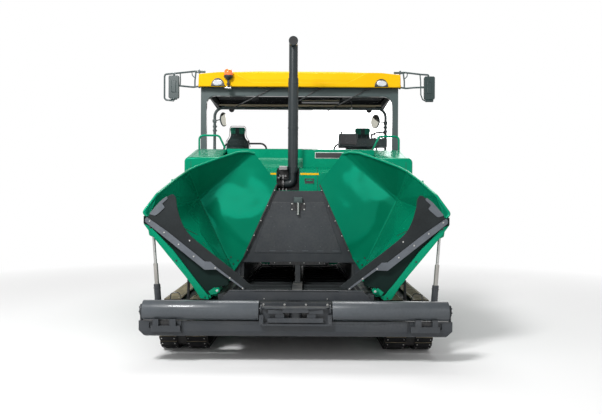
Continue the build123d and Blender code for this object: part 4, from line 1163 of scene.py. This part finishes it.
# =============================================================== mirrors on their arms
mr = Maker()
mr.tube([(1440, 3140, 3516), (1560, 3140, 3520), (1835, 3085, 3476), (1985, 3085, 3462), (1996, 3085, 3430), (1996, 3085, 3110), (1975, 3085, 3082), (1855, 3085, 3072)], 13, 34, 14, 0)
mr.box(1400, 1560, 3128, 3152, 3498, 3528, 6, 3, 0)
mr.tube([(1480, 3140, 3300), (1580, 3135, 3284), (1700, 3110, 3290), (1835, 3085, 3300)], 13, 30, 14, 0)
mr.tube([(1556, 3132, 3285), (1556, 3132, 3380), (1540, 3132, 3512)], 11, 40, 14, 0)
mr.tube([(1600, 3132, 3500), (1596, 3132, 3460), (1556, 3132, 3420)], 7, 20, 10, 0)
mr.ring((1855, 3085, 3078), (1855, 3085, 3120), 14, seg=20, bevel=2, mat=0)
mr.ring((1855, 3085, 3420), (1855, 3085, 3466), 15, seg=20, bevel=2, mat=0)
mr.box(1835, 1875, 3072, 3100, 3284, 3316, 5, 2, 0)
# head: crowned back shell towards the front, glass towards the rear
hp = [(1778, 3120), (1790, 3104), (1920, 3104), (1932, 3120), (1932, 3424), (1920, 3440), (1790, 3440), (1778, 3424)]
mr.prism(hp, "y", 3062, 3104, 14, 4, 1)
mr.prism([(x, z) for x, z in hp], "y", 3056, 3070, 6, 3, 1)
mr.box(1792, 1918, 3102, 3107, 3150, 3428, 3, 2, 2)
mr.box(1792, 1918, 3102, 3107, 3112, 3144, 3, 2, 2)
mr.box(1820, 1890, 3048, 3064, 3190, 3360, 8, 3, 1)
mr.box(1808, 1902, 3056, 3098, 3086, 3108, 8, 3, 1)
mr.tube([(1768, 3098, 3290), (1764, 3098, 3380), (1768, 3098, 3480)], 9, 60, 12, 0)
mr.mirrored().done("mirror_arm_left", "roof", [POST, TEAL, MIRROR])
mq = Maker()
mq.tube([(1440, 3140, 3516), (1560, 3140, 3520), (1790, 3092, 3482), (1905, 3085, 3474), (1905, 3085, 3430)], 13, 34, 14, 0)
mq.box(1400, 1560, 3128, 3152, 3498, 3528, 6, 3, 0)
mq.tube([(1480, 3140, 3300), (1580, 3135, 3284), (1700, 3110, 3290), (1796, 3092, 3290)], 13, 30, 14, 0)
mq.tube([(1556, 3132, 3285), (1556, 3132, 3380), (1540, 3132, 3512)], 11, 40, 14, 0)
mq.tube([(1600, 3132, 3500), (1596, 3132, 3460), (1556, 3132, 3420)], 7, 20, 10, 0)
mq.tube([(1780, 3092, 3484), (1790, 3090, 3380), (1794, 3090, 3180), (1820, 3088, 3110), (1880, 3088, 3078)], 9, 40, 12, 0)
mq.box(1785, 1845, 3076, 3100, 3276, 3304, 5, 2, 0)
hq = [(1836, 3124), (1850, 3104), (1984, 3108), (1996, 3126), (1996, 3430), (1982, 3448), (1852, 3448), (1836, 3430)]
mq.prism(hq, "y", 3062, 3104, 14, 4, 1)
mq.prism(hq, "y", 3056, 3070, 6, 3, 1)
mq.box(1850, 1982, 3102, 3107, 3156, 3434, 3, 2, 2)
mq.box(1850, 1982, 3102, 3107, 3114, 3148, 3, 2, 2)
mq.box(1880, 1950, 3048, 3064, 3190, 3360, 8, 3, 1)
mq.box(1856, 1976, 3056, 3098, 3072, 3108, 12, 3, 1)
mq.done("mirror_arm_right", "roof", [POST, TEAL, MIRROR])
mc = Maker()
# clamps where the arms enter the roof
for sx in (1, -1):
    for z in (3516, 3300):
        mc.box(*sorted((sx * 1480, sx * 1504)), 3112, 3168, z - 26, z + 26, 4, 2, 0)
        for s0 in (3120, 3160):
            mc.bolt((sx * 1504, s0, z), (sx, 0, 0), 6, 5, 1, False)
mc.done("mirror_clamps", "roof", [POST, ZINC], replaces=["roof_mirrors"])

# =============================================================== windscreen: wipers, seals
wp = Maker()
for a, b in (((-390, 3283), (-871, 3053)), ((299, 3283), (4, 3109)), ((1031, 3283), (583, 3043))):
    A, B = Vector((a[0], 3180, a[1])), Vector((b[0], 3204, b[1]))
    d = (B - A).normalized()
    wp.tube([tuple(A), tuple(A + d * 90 + Vector((0, -14, 0))), tuple(B)], 8, 30, 12, 0)
    wp.lathe((a[0], 3168, a[1]), (a[0], 3192, a[1]), [(0, 0), (24, 0), (28, 4), (28, 20), (0, 24)], 24, 0)
    wp.box(a[0] - 46, a[0] + 46, 3172, 3190, a[1] - 16, a[1] + 30, 6, 2, 0)
    e = Vector((d.x, 0, d.z)).normalized()
    c = B - e * 60
    lo, hi = c - e * 300, c + e * 250
    wp.tube([(lo.x, 3214, lo.z), (hi.x, 3214, hi.z)], 7, 10, 10, 1)
    wp.tube([(lo.x + e.x * 60, 3206, lo.z + e.z * 60), (c.x, 3200, c.z), (hi.x - e.x * 60, 3206, hi.z - e.z * 60)], 5, 60, 10, 0)
wp.box(-1392, 1392, 3220, 3238, 2352, 2370, 3, 1, 1)
wp.done("wipers", "portal", [PLASTIC, HOSE])
# portal feet
pf = Maker()
for z in (1850, 2100, 2290):
    pf.lathe((1476, 3230, z), (1492, 3230, z), [(0, 0), (26 if z < 1900 else 12, 0), (24 if z < 1900 else 12, 10), (0, 14)], 24, 0)
both(pf, "portal_pins", "portal", [ZINC], None)

# =============================================================== rear hoop: round mirrors, clamps
rh = Maker()


def round_mirror(x, z, yaw, foot_x):
    c = Vector((x, 4560, z))
    n = Vector((sin(radians(yaw)), -cos(radians(yaw)), 0))
    rh.lathe(tuple(c), tuple(c + n * 10), [(0, 4), (112, 4), (118, 2), (122, -4), (122, -12), (110, -24), (70, -40), (0, -46)], 44, 0)
    rh.lathe(tuple(c + n * 3), tuple(c + n * 13), [(0, 0), (108, 0), (110, 2), (0, 12)], 44, 2)
    rh.tube([tuple(c - n * 40), tuple(c - n * 90), (foot_x, 4620, z - 20)], 9, 30, 12, 0)
    rh.box(foot_x - 34, foot_x + 34, 4590, 4650, z - 45, z + 5, 6, 2, 0)


round_mirror(-1312, 3020, 69, -1480)
round_mirror(1292, 3000, -60, 1480)
for sx in (1, -1):
    for z in (2905, 2835):
        rh.lathe((sx * 1480, 4620, z - 16), (sx * 1480, 4620, z + 16), [(24, 0), (33, 2), (33, 30), (24, 32)], 24, 0, True)
        rh.box(*sorted((sx * 1440, sx * 1462)), 4606, 4634, z - 14, z + 14, 3, 1, 0)
    rh.lathe((sx * 1514, 4620, 1780), (sx * 1524, 4620, 1780), [(0, 0), (22, 0), (20, 8), (0, 10)], 24, 1)
# beige tube along the hoop's top: painted highlight of the lit hoop tube
rh.tube([(-1310, 4620, 3256), (1310, 4620, 3256)], 11, 20, 12, 3)
rh.done("hoop_mirrors", "rear_hoop", [POST, ZINC, MIRRORT, BEIGE_HIGHLIGHT_AND_TRIM])

# =============================================================== operator console, wheel, levers
oc = Maker()
oc.prism([(4022, 2720), (4030, 2500), (4296, 2500), (4296, 2620), (4120, 2724)], "x", 640, 950, 14, 3, 0)
oc.prism([(4062, 2650), (4066, 2510), (4286, 2510), (4286, 2590), (4160, 2652)], "x", 944, 1436, 12, 3, 0)
oc.prism([(4102, 2505), (4102, 1702), (4218, 1702), (4218, 2505)], "x", 762, 858, 10, 3, 0)
oc.box(664, 926, 4020, 4030, 2540, 2700, 8, 3, 2)
oc.prism([(4140, 2716), (4280, 2632), (4284, 2640), (4146, 2724)], "x", 676, 914, 2, 1, 1)
for i in range(5):
    for j in range(3):
        oc.lathe((980 + i * 44, 4180 + j * 34, 2640 - j * 18), (980 + i * 44, 4186 + j * 34, 2650 - j * 18), [(0, 0), (11, 0), (11, 5), (8, 7), (0, 7)], 16, (3, 1, 4)[(i + j) % 3])
# steering wheel on a stub column
c, ax = Vector((1320, 4236, 2700)), Vector((0, 0.45, 0.9)).normalized()
wheel = [P(*(c + (Vector((1, 0, 0)) * cos(2 * pi * k / 40) + ax.cross(Vector((1, 0, 0))) * sin(2 * pi * k / 40)) * 125)) for k in range(41)]
oc.sweep(wheel, 0.013, 12, 1, False)
oc.ring(tuple(c - ax * 70), tuple(c), 22, 17, 20, 2, 2, 1)
for k in range(3):
    a = 2 * pi * k / 3 + 0.5
    e = Vector((1, 0, 0)) * cos(a) + ax.cross(Vector((1, 0, 0))) * sin(a)
    oc.tube([tuple(c - ax * 8), tuple(c + e * 122)], 7, 5, 10, 1)
oc.ring((700, 4262, 2630), (694, 4262, 2760), 7, 5, 14, 0, 1, 1)
oc.ball((693, 4262, 2768), 19, 1, 16)
for x in (1180, 1228):
    oc.ring((x, 4110, 2640), (x, 4096, 2710), 5, 4, 12, 0, 1, 1)
    oc.ball((x, 4094, 2716), 13, 1, 14)
oc.done("console", "chassis", [TEAL, HOSE, PLATE, ORANGE, WHITEP], replaces=["operator_console"])
sp = Maker()
for cx in (1100,):
    # seat frame: bellows, base, arm rests, back shell
    for k in range(9):
        z0 = 1720 + k * 38
        sp.lathe((cx, 4590, z0), (cx, 4590, z0 + 38), [(0, 0), (150, 0), (168, 19), (150, 38), (0, 38)], 36, 1)
    sp.box(cx - 190, cx + 190, 4380, 4780, 1700, 1722, 6, 2, 0)
    sp.box(cx - 232, cx + 232, 4334, 4846, 2068, 2096, 8, 3, 0)
    sp.prism([(4874, 2010), (4898, 2010), (4898, 2694), (4874, 2694)], "x", cx - 196, cx + 196, 6, 3, 0)
    sp.prism([(4750, 2022), (4888, 2022), (4888, 2066), (4750, 2066)], "x", cx - 98, cx + 98, 4, 2, 0)
    for sx in (1, -1):
        sp.prism([(4560, 2318), (4556, 2350), (4600, 2362), (4860, 2362), (4870, 2320)], "x", *sorted((cx + sx * 262, cx + sx * 206)), 10, 3, 1)
        sp.prism([(4828, 2080), (4872, 2080), (4872, 2330), (4828, 2330)], "x", *sorted((cx + sx * 250, cx + sx * 236)), 4, 2, 0)
    sp.ring((cx + 250, 4586, 2350), (cx + 250, 4576, 2450), 9, 7, 14, 0, 1, 1)
    sp.ball((cx + 250, 4574, 2462), 24, 1, 16, (0.9, 1.1, 1.4))
spl = sp.mirrored()
sp.done("seat_frame_right", "chassis", [DARK, TEAL], replaces=["seat_pedestals"])
spl.done("seat_frame_left", "chassis", [DARK, TEAL], replaces=["seat_pedestals"])


# =============================================================== seats: cloth-swollen pads, sewn after
def outline_solid(pts, axis, a, b, steps=1):
    mk = Maker()
    mk.prism(pts, axis, a, b, 16, 3, 0)
    me = bpy.data.meshes.new("raw")
    mk.bm.to_mesh(me)
    mk.bm.free()
    o = bpy.data.objects.new("raw", me)
    scene.collection.objects.link(o)
    return o


def baked(o):
    dg = bpy.context.evaluated_depsgraph_get()
    dg.update()
    me = bpy.data.meshes.new_from_object(o.evaluated_get(dg))
    o.modifiers.clear()
    o.data = me
    return o


def swell(o, cap, box, press=4.0, voxel=0.0085, frames=20):
    """remesh, blow up with cloth pressure, cap each point's travel, keep inside the box (min, max)"""
    r = o.modifiers.new("r", "REMESH")
    r.mode = "VOXEL"
    r.voxel_size = voxel
    baked(o)
    rest = [v.co.copy() for v in o.data.vertices]
    c = o.modifiers.new("c", "CLOTH")
    st_ = c.settings
    st_.quality = 4
    st_.mass = 0.35
    st_.tension_stiffness = 18
    st_.compression_stiffness = 18
    st_.shear_stiffness = 8
    st_.bending_stiffness = 0.8
    st_.use_pressure = True
    st_.uniform_pressure_force = press
    st_.effector_weights.gravity = 0
    c.point_cache.frame_start = 1
    c.point_cache.frame_end = frames
    for f in range(1, frames + 1):
        scene.frame_set(f)
    baked(o)
    scene.frame_set(1)
    lo, hi = box
    for v, p in zip(o.data.vertices, rest):
        d = v.co - p
        if d.length > cap:
            v.co = p + d * (cap / d.length)
        for i in range(3):
            v.co[i] = min(max(v.co[i], lo[i]), hi[i])
    return o


def sew(o, lines, depth=0.007, width=0.011):
    """sewn channels: lines of (x, s, z) points in mm; the face near them sinks"""
    segs_ = []
    for ln in lines:
        pts = [P(*p) for p in ln]
        segs_ += list(zip(pts, pts[1:]))
    me = o.data
    me.update()
    moves = []
    for v in me.vertices:
        best = 1.0
        for a, b in segs_:
            d = b - a
            t = max(0.0, min(1.0, (v.co - a).dot(d) / max(d.length_squared, 1e-9)))
            best = min(best, (v.co - (a + d * t)).length)
        if best < width * 3:
            moves.append((v, v.normal.copy() * (depth * math.exp(-(best / width) ** 2))))
    for v, m in moves:
        v.co -= m
    me.update()


def pad_piece(o, name, body, mats, replaces=(), patch=None):
    me = o.data
    o.name = name
    me.name = name
    me.materials.clear()
    for m in mats:
        me.materials.append(m)
    if patch:
        for f in me.polygons:
            f.material_index = patch(f.center)
    for f in me.polygons:
        f.use_smooth = True
    s_ = o.modifiers.new("sub", "SUBSURF")
    s_.levels = s_.render_levels = 1
    baked(o)
    for f in o.data.polygons:
        f.use_smooth = True
    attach(o, body)
    if replaces:
        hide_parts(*replaces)
    return o


CX = 1100
HALF = [(222, 2174), (222, 2570), (200, 2680), (155, 2742), (144, 2796), (142, 2898), (120, 2940)]
BACK = [(CX + u, v) for u, v in HALF] + [(CX - u, v) for u, v in reversed(HALF)]
seat_b = outline_solid(BACK, "y", 4766, 4852)
swell(seat_b, 0.024, (P(CX - 236, 4751, 2161), P(CX + 236, 4869, 2955)))
sew(seat_b, [[(CX - 130, 4757, z) for z in (2190, 2700)], [(CX + 130, 4757, z) for z in (2190, 2700)],
             [(CX - 130, 4757, 2700), (CX + 130, 4757, 2700)], [(CX - 130, 4757, 2440), (CX + 130, 4757, 2440)],
             [(CX - 130, 4757, 2570), (CX + 130, 4757, 2570)], [(CX - 130, 4757, 2310), (CX + 130, 4757, 2310)],
             [(CX - 140, 4757, 2786), (CX + 140, 4757, 2786)], [(CX - 66, 4757, 2786), (CX - 66, 4757, 2945)], [(CX + 66, 4757, 2786), (CX + 66, 4757, 2945)]])
SEATC = [(CX - 221, 4334), (CX + 221, 4334), (CX + 221, 4728), (CX - 221, 4728)]
seat_c = outline_solid(SEATC, "z", 2116, 2196)
swell(seat_c, 0.024, (P(CX - 235, 4321, 2100), P(CX + 235, 4739, 2220)))
sew(seat_c, [[(CX - 130, 4340, 2216), (CX - 130, 4725, 2216)], [(CX + 130, 4340, 2216), (CX + 130, 4725, 2216)],
             [(CX - 130, 4460, 2216), (CX + 130, 4460, 2216)], [(CX - 130, 4600, 2216), (CX + 130, 4600, 2216)]])


def head_green(c):
    x, z = abs(abs(c.x) * 1000 - CX), c.z * 1000 - RIDE
    return 1 if z > 2800 and (x > 34 or z > 2905) else 0


for o, nm, node, patch in ((seat_b, "seat_back_pad", "seat_backs", head_green), (seat_c, "seat_pad", "seat_cushions", None)):
    me2 = o.data.copy()
    twin = bpy.data.objects.new("twin", me2)
    scene.collection.objects.link(twin)
    me2.transform(Matrix.Diagonal((-1, 1, 1, 1)))
    me2.flip_normals()
    pad_piece(o, nm + "_right", "chassis", [LEATHER, GREENCLOTH], [node], patch)
    pad_piece(twin, nm + "_left", "chassis", [LEATHER, GREENCLOTH], [node], patch)

# welts along the pads' seams
wl_ = Maker()
wl_.tube([(x, 4811, z) for x, z in BACK[1:13]], 4.5, 26, 8, 0)
wl_.tube([(CX - 226, 4340, 2158), (CX - 226, 4722, 2158), (CX + 226, 4722, 2158), (CX + 226, 4340, 2158), (CX - 226, 4340, 2158)], 4.0, 26, 8, 0)
both(wl_, "seat_welts", "chassis", [HOSE], None)

# =============================================================== augers: helical flights in bolted segments
au = Maker()
part = bmesh.new()
rows = []
turns, x_a, x_b, r_in, r_out, th = 4.55, 92, 1462, 40, 198, 12
steps = 150
for i in range(steps + 1):
    k = i / steps
    a = 2 * pi * turns * k
    x = x_a + (x_b - x_a) * k
    c_, s_ = cos(a), sin(a)
    rows.append([part.verts.new(P(x + dx, 5175 + c_ * r, 430 + s_ * r)) for r, dx in ((r_in, 0), (r_out, 2), (r_out, th - 2), (r_in, th))])
for u_, v_ in zip(rows, rows[1:]):
    for k in range(4):
        part.faces.new((u_[k], u_[(k + 1) % 4], v_[(k + 1) % 4], v_[k]))
part.faces.new(list(reversed(rows[0])))
part.faces.new(rows[-1])
au.add(part, 0)
au.lathe((66, 5175, 430), (1480, 5175, 430), [(0, 0), (38, 0), (41, 3), (41, 1408), (36, 1414), (0, 1414)], 36, 1)
for x in (300, 640, 980, 1320):
    au.lathe((x, 5175, 430), (x + 60, 5175, 430), [(40, 0), (50, 0), (52, 3), (52, 57), (50, 60), (40, 60)], 32, 1, True)
    for k in range(4):
        a = k * pi / 2 + 0.5
        au.bolt((x + 30, 5175 + 51 * cos(a), 430 + 51 * sin(a)), (0, cos(a), sin(a)), 9, 7, 1, False)
both(au, "auger_flight", "auger_{}", [WORN, TRACKM], ["auger_{}"])

# =============================================================== screed
sc = Maker()
for sx in (1, -1):
    for i in range(9):
        x = sx * (110 + i * 165)
        sc.bolt((x, 5400, 455), (0, -1, 0), 9, 7, 1, False)
        sc.bolt((x, 5400, 90), (0, -1, 0), 9, 7, 1, False)
    # hatches on the top
    a, b = sorted((sx * 120, sx * 700))
    sc.box(a, b, 5520, 5900, 470, 477, 3, 2, 0)
    for x in (sx * 160, sx * 660):
        for s0 in (5550, 5870):
            sc.bolt((x, s0, 477), (0, 0, 1), 8, 6, 1)
    sc.tube([(sx * 350, 5700, 477), (sx * 350, 5700, 512), (sx * 470, 5700, 512), (sx * 470, 5700, 477)], 8, 16, 12, 2)
    a, b = sorted((sx * 820, sx * 1100))
    sc.box(a, b, 5540, 5880, 470, 540, 10, 3, 0)
    for k in range(5):
        sc.box(a + 30, b - 30, 5560 + k * 60, 5590 + k * 60, 539, 545, 3, 2, 3)
    # caps of the lift pins and the tow arm bolts
    for x in (sx * 1138, sx * 1222):
        sc.lathe((x, 5700, 700), (x + (8 if abs(x) > 1200 else -8) * sx, 5700, 700), [(0, 0), (24, 0), (22, 7), (0, 9)], 24, 1)
sc.box(-1502, 1502, 5404, 5418, 20, 42, 2, 1, 1)                       # tamper bar
sc.box(-1496, 1496, 5424, 6056, -1, 4, 1, 1, 4)                        # screed plate
sc.done("screed_trim", "screed", [GREEN, ZINC, PLASTIC, BLACK, WORN])
se = Maker()
for i in range(8):
    se.bolt((90 + i * 190, 6490, 410), (0, 1, 0), 8, 6, 1, False)
    se.bolt((90 + i * 190, 6490, 60), (0, 1, 0), 8, 6, 1, False)
se.box(60, 1440, 6488, 6496, 110, 360, 4, 2, 0)
for x in (120, 760, 1380):
    se.tube([(x - 50, 6494, 300), (x - 50, 6530, 300), (x + 50, 6530, 300), (x + 50, 6494, 300)], 7, 16, 12, 2)
se.box(16, 1494, 6224, 6486, -1, 4, 1, 1, 3)
# end gate: stiffeners, skid, crank spindles
for z in (120, 330):
    se.box(1522, 1532, 5540, 6470, z, z + 30, 4, 2, 0)
se.box(1502, 1530, 5494, 6504, 0, 24, 5, 2, 3)
for s0 in (5620, 6380):
    se.box(1522, 1534, s0 - 40, s0 + 40, 24, 396, 4, 2, 0)
    se.ring((1534, s0, 60), (1534, s0, 560), 9, seg=18, mat=1)
    se.box(1520, 1548, s0 - 26, s0 + 26, 360, 410, 5, 2, 2)
    se.tube([(1534, s0, 560), (1534, s0 + 90, 560)], 7, 10, 12, 1)
    se.ring((1534, s0 + 90, 556), (1534, s0 + 90, 630), 13, 11, 18, 2, 2, 2)
# hand rail and control box for the screed's operator
se.tube([(1549, 6250, 336), (1549, 6250, 1150), (1580, 6250, 1180), (1620, 6250, 1180)], 16, 30, 16, 2)
se.prism([(6152, 1130), (6152, 1250), (6242, 1330), (6292, 1310), (6292, 1130)], "x", 1449, 1649, 12, 3, 2)
se.prism([(6152, 1246), (6238, 1326), (6236, 1330), (6150, 1250)], "x", 1467, 1631, 1.5, 1, 4)
for i in range(4):
    for j in range(2):
        se.lathe((1485 + i * 40, 6172 + j * 32, 1264 + j * 30), (1485 + i * 40, 6165 + j * 32, 1272 + j * 30), [(0, 0), (10, 0), (10, 6), (7, 8), (0, 8)], 16, (1, 5)[(i + j) % 2])
both(se, "extension_trim", "screed_extension_{}", [GREEN, ZINC, PLASTIC, WORN, PLATE, ORANGE], None)
wk = Maker()
n_bar = 74
for i in range(n_bar + 1):
    x = -1470 + 2940 * i / n_bar
    wk.box(x - 2.5, x + 2.5, 6076, 6892, 508, 522, 0, 1, 0)
for k in range(9):
    s0 = 6084 + k * 100
    wk.ring((-1474, s0, 516), (1474, s0, 516), 4, seg=8, mat=0)
for s0 in (6072, 6894):
    wk.box(-1480, 1480, s0 - 5, s0 + 5, 486, 526, 2, 1, 0)
for x in (-1476, 1476):
    wk.box(x - 4, x + 4, 6072, 6896, 486, 526, 2, 1, 0)
wk.done("walkway_grating", "screed", [TRACKM])

# tow arms: pivot caps, bolted shoe at the screed
ta = Maker()
ta.lathe((1390, 2450, 745), (1408, 2450, 745), [(0, 0), (58, 0), (58, 6), (40, 12), (36, 18), (0, 18)], 36, 0)
for k in range(6):
    a = k * pi / 3
    ta.bolt((1396, 2450 + 48 * cos(a), 745 + 48 * sin(a)), (1, 0, 0), 7, 6, 0, False)
for s0, z in ((5480, 560), (5560, 560), (5640, 560), (5720, 560), (5480, 640), (5720, 640)):
    ta.bolt((1390, s0, z), (1, 0, 0), 12, 9, 0)
ta.box(1389, 1398, 5440, 5760, 520, 690, 4, 2, 1)
for s0 in (2900, 3700, 4500):
    ta.box(1318, 1392, s0, s0 + 60, 786, 792, 2, 1, 1)
both(ta, "tow_arm_trim", "screed", [ZINC, GREEN], None)

# =============================================================== sides: doors, louvres, handles, tank panels
sd = Maker()
for k in range(9):
    z0 = 1610 + k * 44
    sd.box(1500, 1509, 2284, 2856, z0 + 2, z0 + 9, 3, 2, 0)
    sd.box(1499, 1501.5, 2288, 2852, z0 + 10, z0 + 23, 0, 1, 1)
sd.box(1499, 1510, 2230, 2262, 1480, 1600, 6, 3, 1)
sd.box(1500, 1516, 2236, 2256, 1505, 1575, 6, 3, 2)
for z in (1300, 1880):
    for s0 in (2876, 2908):
        sd.bolt((1507, s0, z), (1, 0, 0), 7, 6, 2, False)
sd.box(1498, 1504, 2206, 2928, 1146, 1160, 3, 2, 0)
sd.box(1498, 1504, 2206, 2928, 2040, 2054, 3, 2, 0)
both(sd, "side_door_trim", "side_door_{}", [GREEN, BLACK, ZINC], None)
tk = Maker()
for a, b in ((3150, 4080), (4120, 5100)):
    tk.box(1445, 1453, a, b, 1290, 1630, 5, 2, 0)
    for z in (1340, 1580):
        tk.ring((1456, b - 20, z - 30), (1456, b - 20, z + 30), 7, seg=16, bevel=2, mat=2)
    tk.box(1452, 1460, a + 30, a + 90, 1440, 1480, 5, 2, 1)
    tk.box(1285, 1293, a, b, 890, 1225, 5, 2, 0)
    for s0 in (a + 60, (a + b) / 2, b - 60):
        tk.bolt((1293, s0, 920), (1, 0, 0), 8, 6, 2)
        tk.bolt((1293, s0, 1195), (1, 0, 0), 8, 6, 2)
for k in range(7):
    tk.box(1452, 1457, 3420 + k * 80, 3460 + k * 80, 1350, 1570, 3, 2, 1)
# rear faces: lamps, filler caps, tie rails
tk.box(1150, 1420, 5148, 5156, 1300, 1540, 4, 2, 0)
tk.lathe((1010, 5150, 1480), (1010, 5185, 1480), [(0, 0), (52, 0), (52, 6), (44, 10), (44, 30), (38, 35), (0, 35)], 36, 1)
for s0 in (3300, 4000, 4700):
    tk.box(905, 1288, s0, s0 + 50, 846, 851, 2, 1, 1)
both(tk, "tank_panels", "chassis", [GREEN, PLASTIC, ZINC], None)
dk = Maker()
for sx in (1, -1):
    c_ = sx * 1290
    dk.box(c_ - 110, c_ + 110, 5248, 5262, 1575, 1645, 5, 2, 0)
    for x, m in ((c_ - 66, 1), (c_, 2), (c_ + 66, 3)):
        dk.lathe((x, 5258, 1610), (x, 5276, 1610), [(0, 0), (29, 0), (29, 10), (24, 16), (0, 18)], 28, m)
    # kick plates, post clamps and rail feet
    dk.box(*sorted((sx * 1436, sx * 1446)), 3300, 5160, 1700, 1800, 3, 2, 0)
    for x in (sx * 620, sx * 1400):
        dk.lathe((x, 5225, 1700), (x, 5225, 1716), [(0, 0), (42, 0), (42, 10), (22, 14), (0, 14)], 28, 0)
        for k in range(4):
            a = k * pi / 2 + pi / 4
            dk.bolt((x + 33 * cos(a), 5225 + 33 * sin(a) * 0.6, 1710), (0, 0, 1), 5, 4, 4, False)
    # lockers under the seats' outer side
    dk.box(*sorted((sx * 700, sx * 880)), 3100, 3500, 1700, 2180, 10, 3, 5)
    dk.box(*sorted((sx * 716, sx * 864)), 3498, 3505, 1730, 2150, 4, 2, 5)
    dk.box(*sorted((sx * 760, sx * 820)), 3503, 3516, 1960, 1985, 4, 2, 0)
dk.box(-640, 640, 3082, 3090, 1730, 2270, 4, 2, 5)
dk.tube([(-500, 3092, 2200), (-500, 3140, 2200), (500, 3140, 2200), (500, 3092, 2200)], 13, 40, 14, 0)
dk.done("deck_trim", "chassis", [PLASTIC, REDLENS, ORANGE, LAMP, ZINC, DARK])
# rear body: hatch with louvres, ladder treads
rb = Maker()
rb.box(-560, 560, 4946, 4958, 900, 1600, 6, 2, 0)
for k in range(10):
    rb.prism([(4956, 1180 + k * 36), (4956, 1206 + k * 36), (4968, 1184 + k * 36)], "x", -440, 440, 1.5, 1, 0)
for x in (-520, 520):
    for z in (940, 1250, 1560):
        rb.bolt((x, 4958, z), (0, 1, 0), 9, 7, 1)
for x in (-300, 300):
    rb.tube([(x - 60, 4956, 1010), (x - 60, 4990, 1010), (x + 60, 4990, 1010), (x + 60, 4956, 1010)], 8, 18, 12, 0)
for z in (1130, 1390, 1626):
    for k in range(11):
        x = -275 + k * 55
        rb.box(x - 8, x + 8, 5260, 5322, z + 24, z + 28, 2, 1, 2)
rb.done("rear_body_trim", "chassis", [DARK, ZINC, WORN])
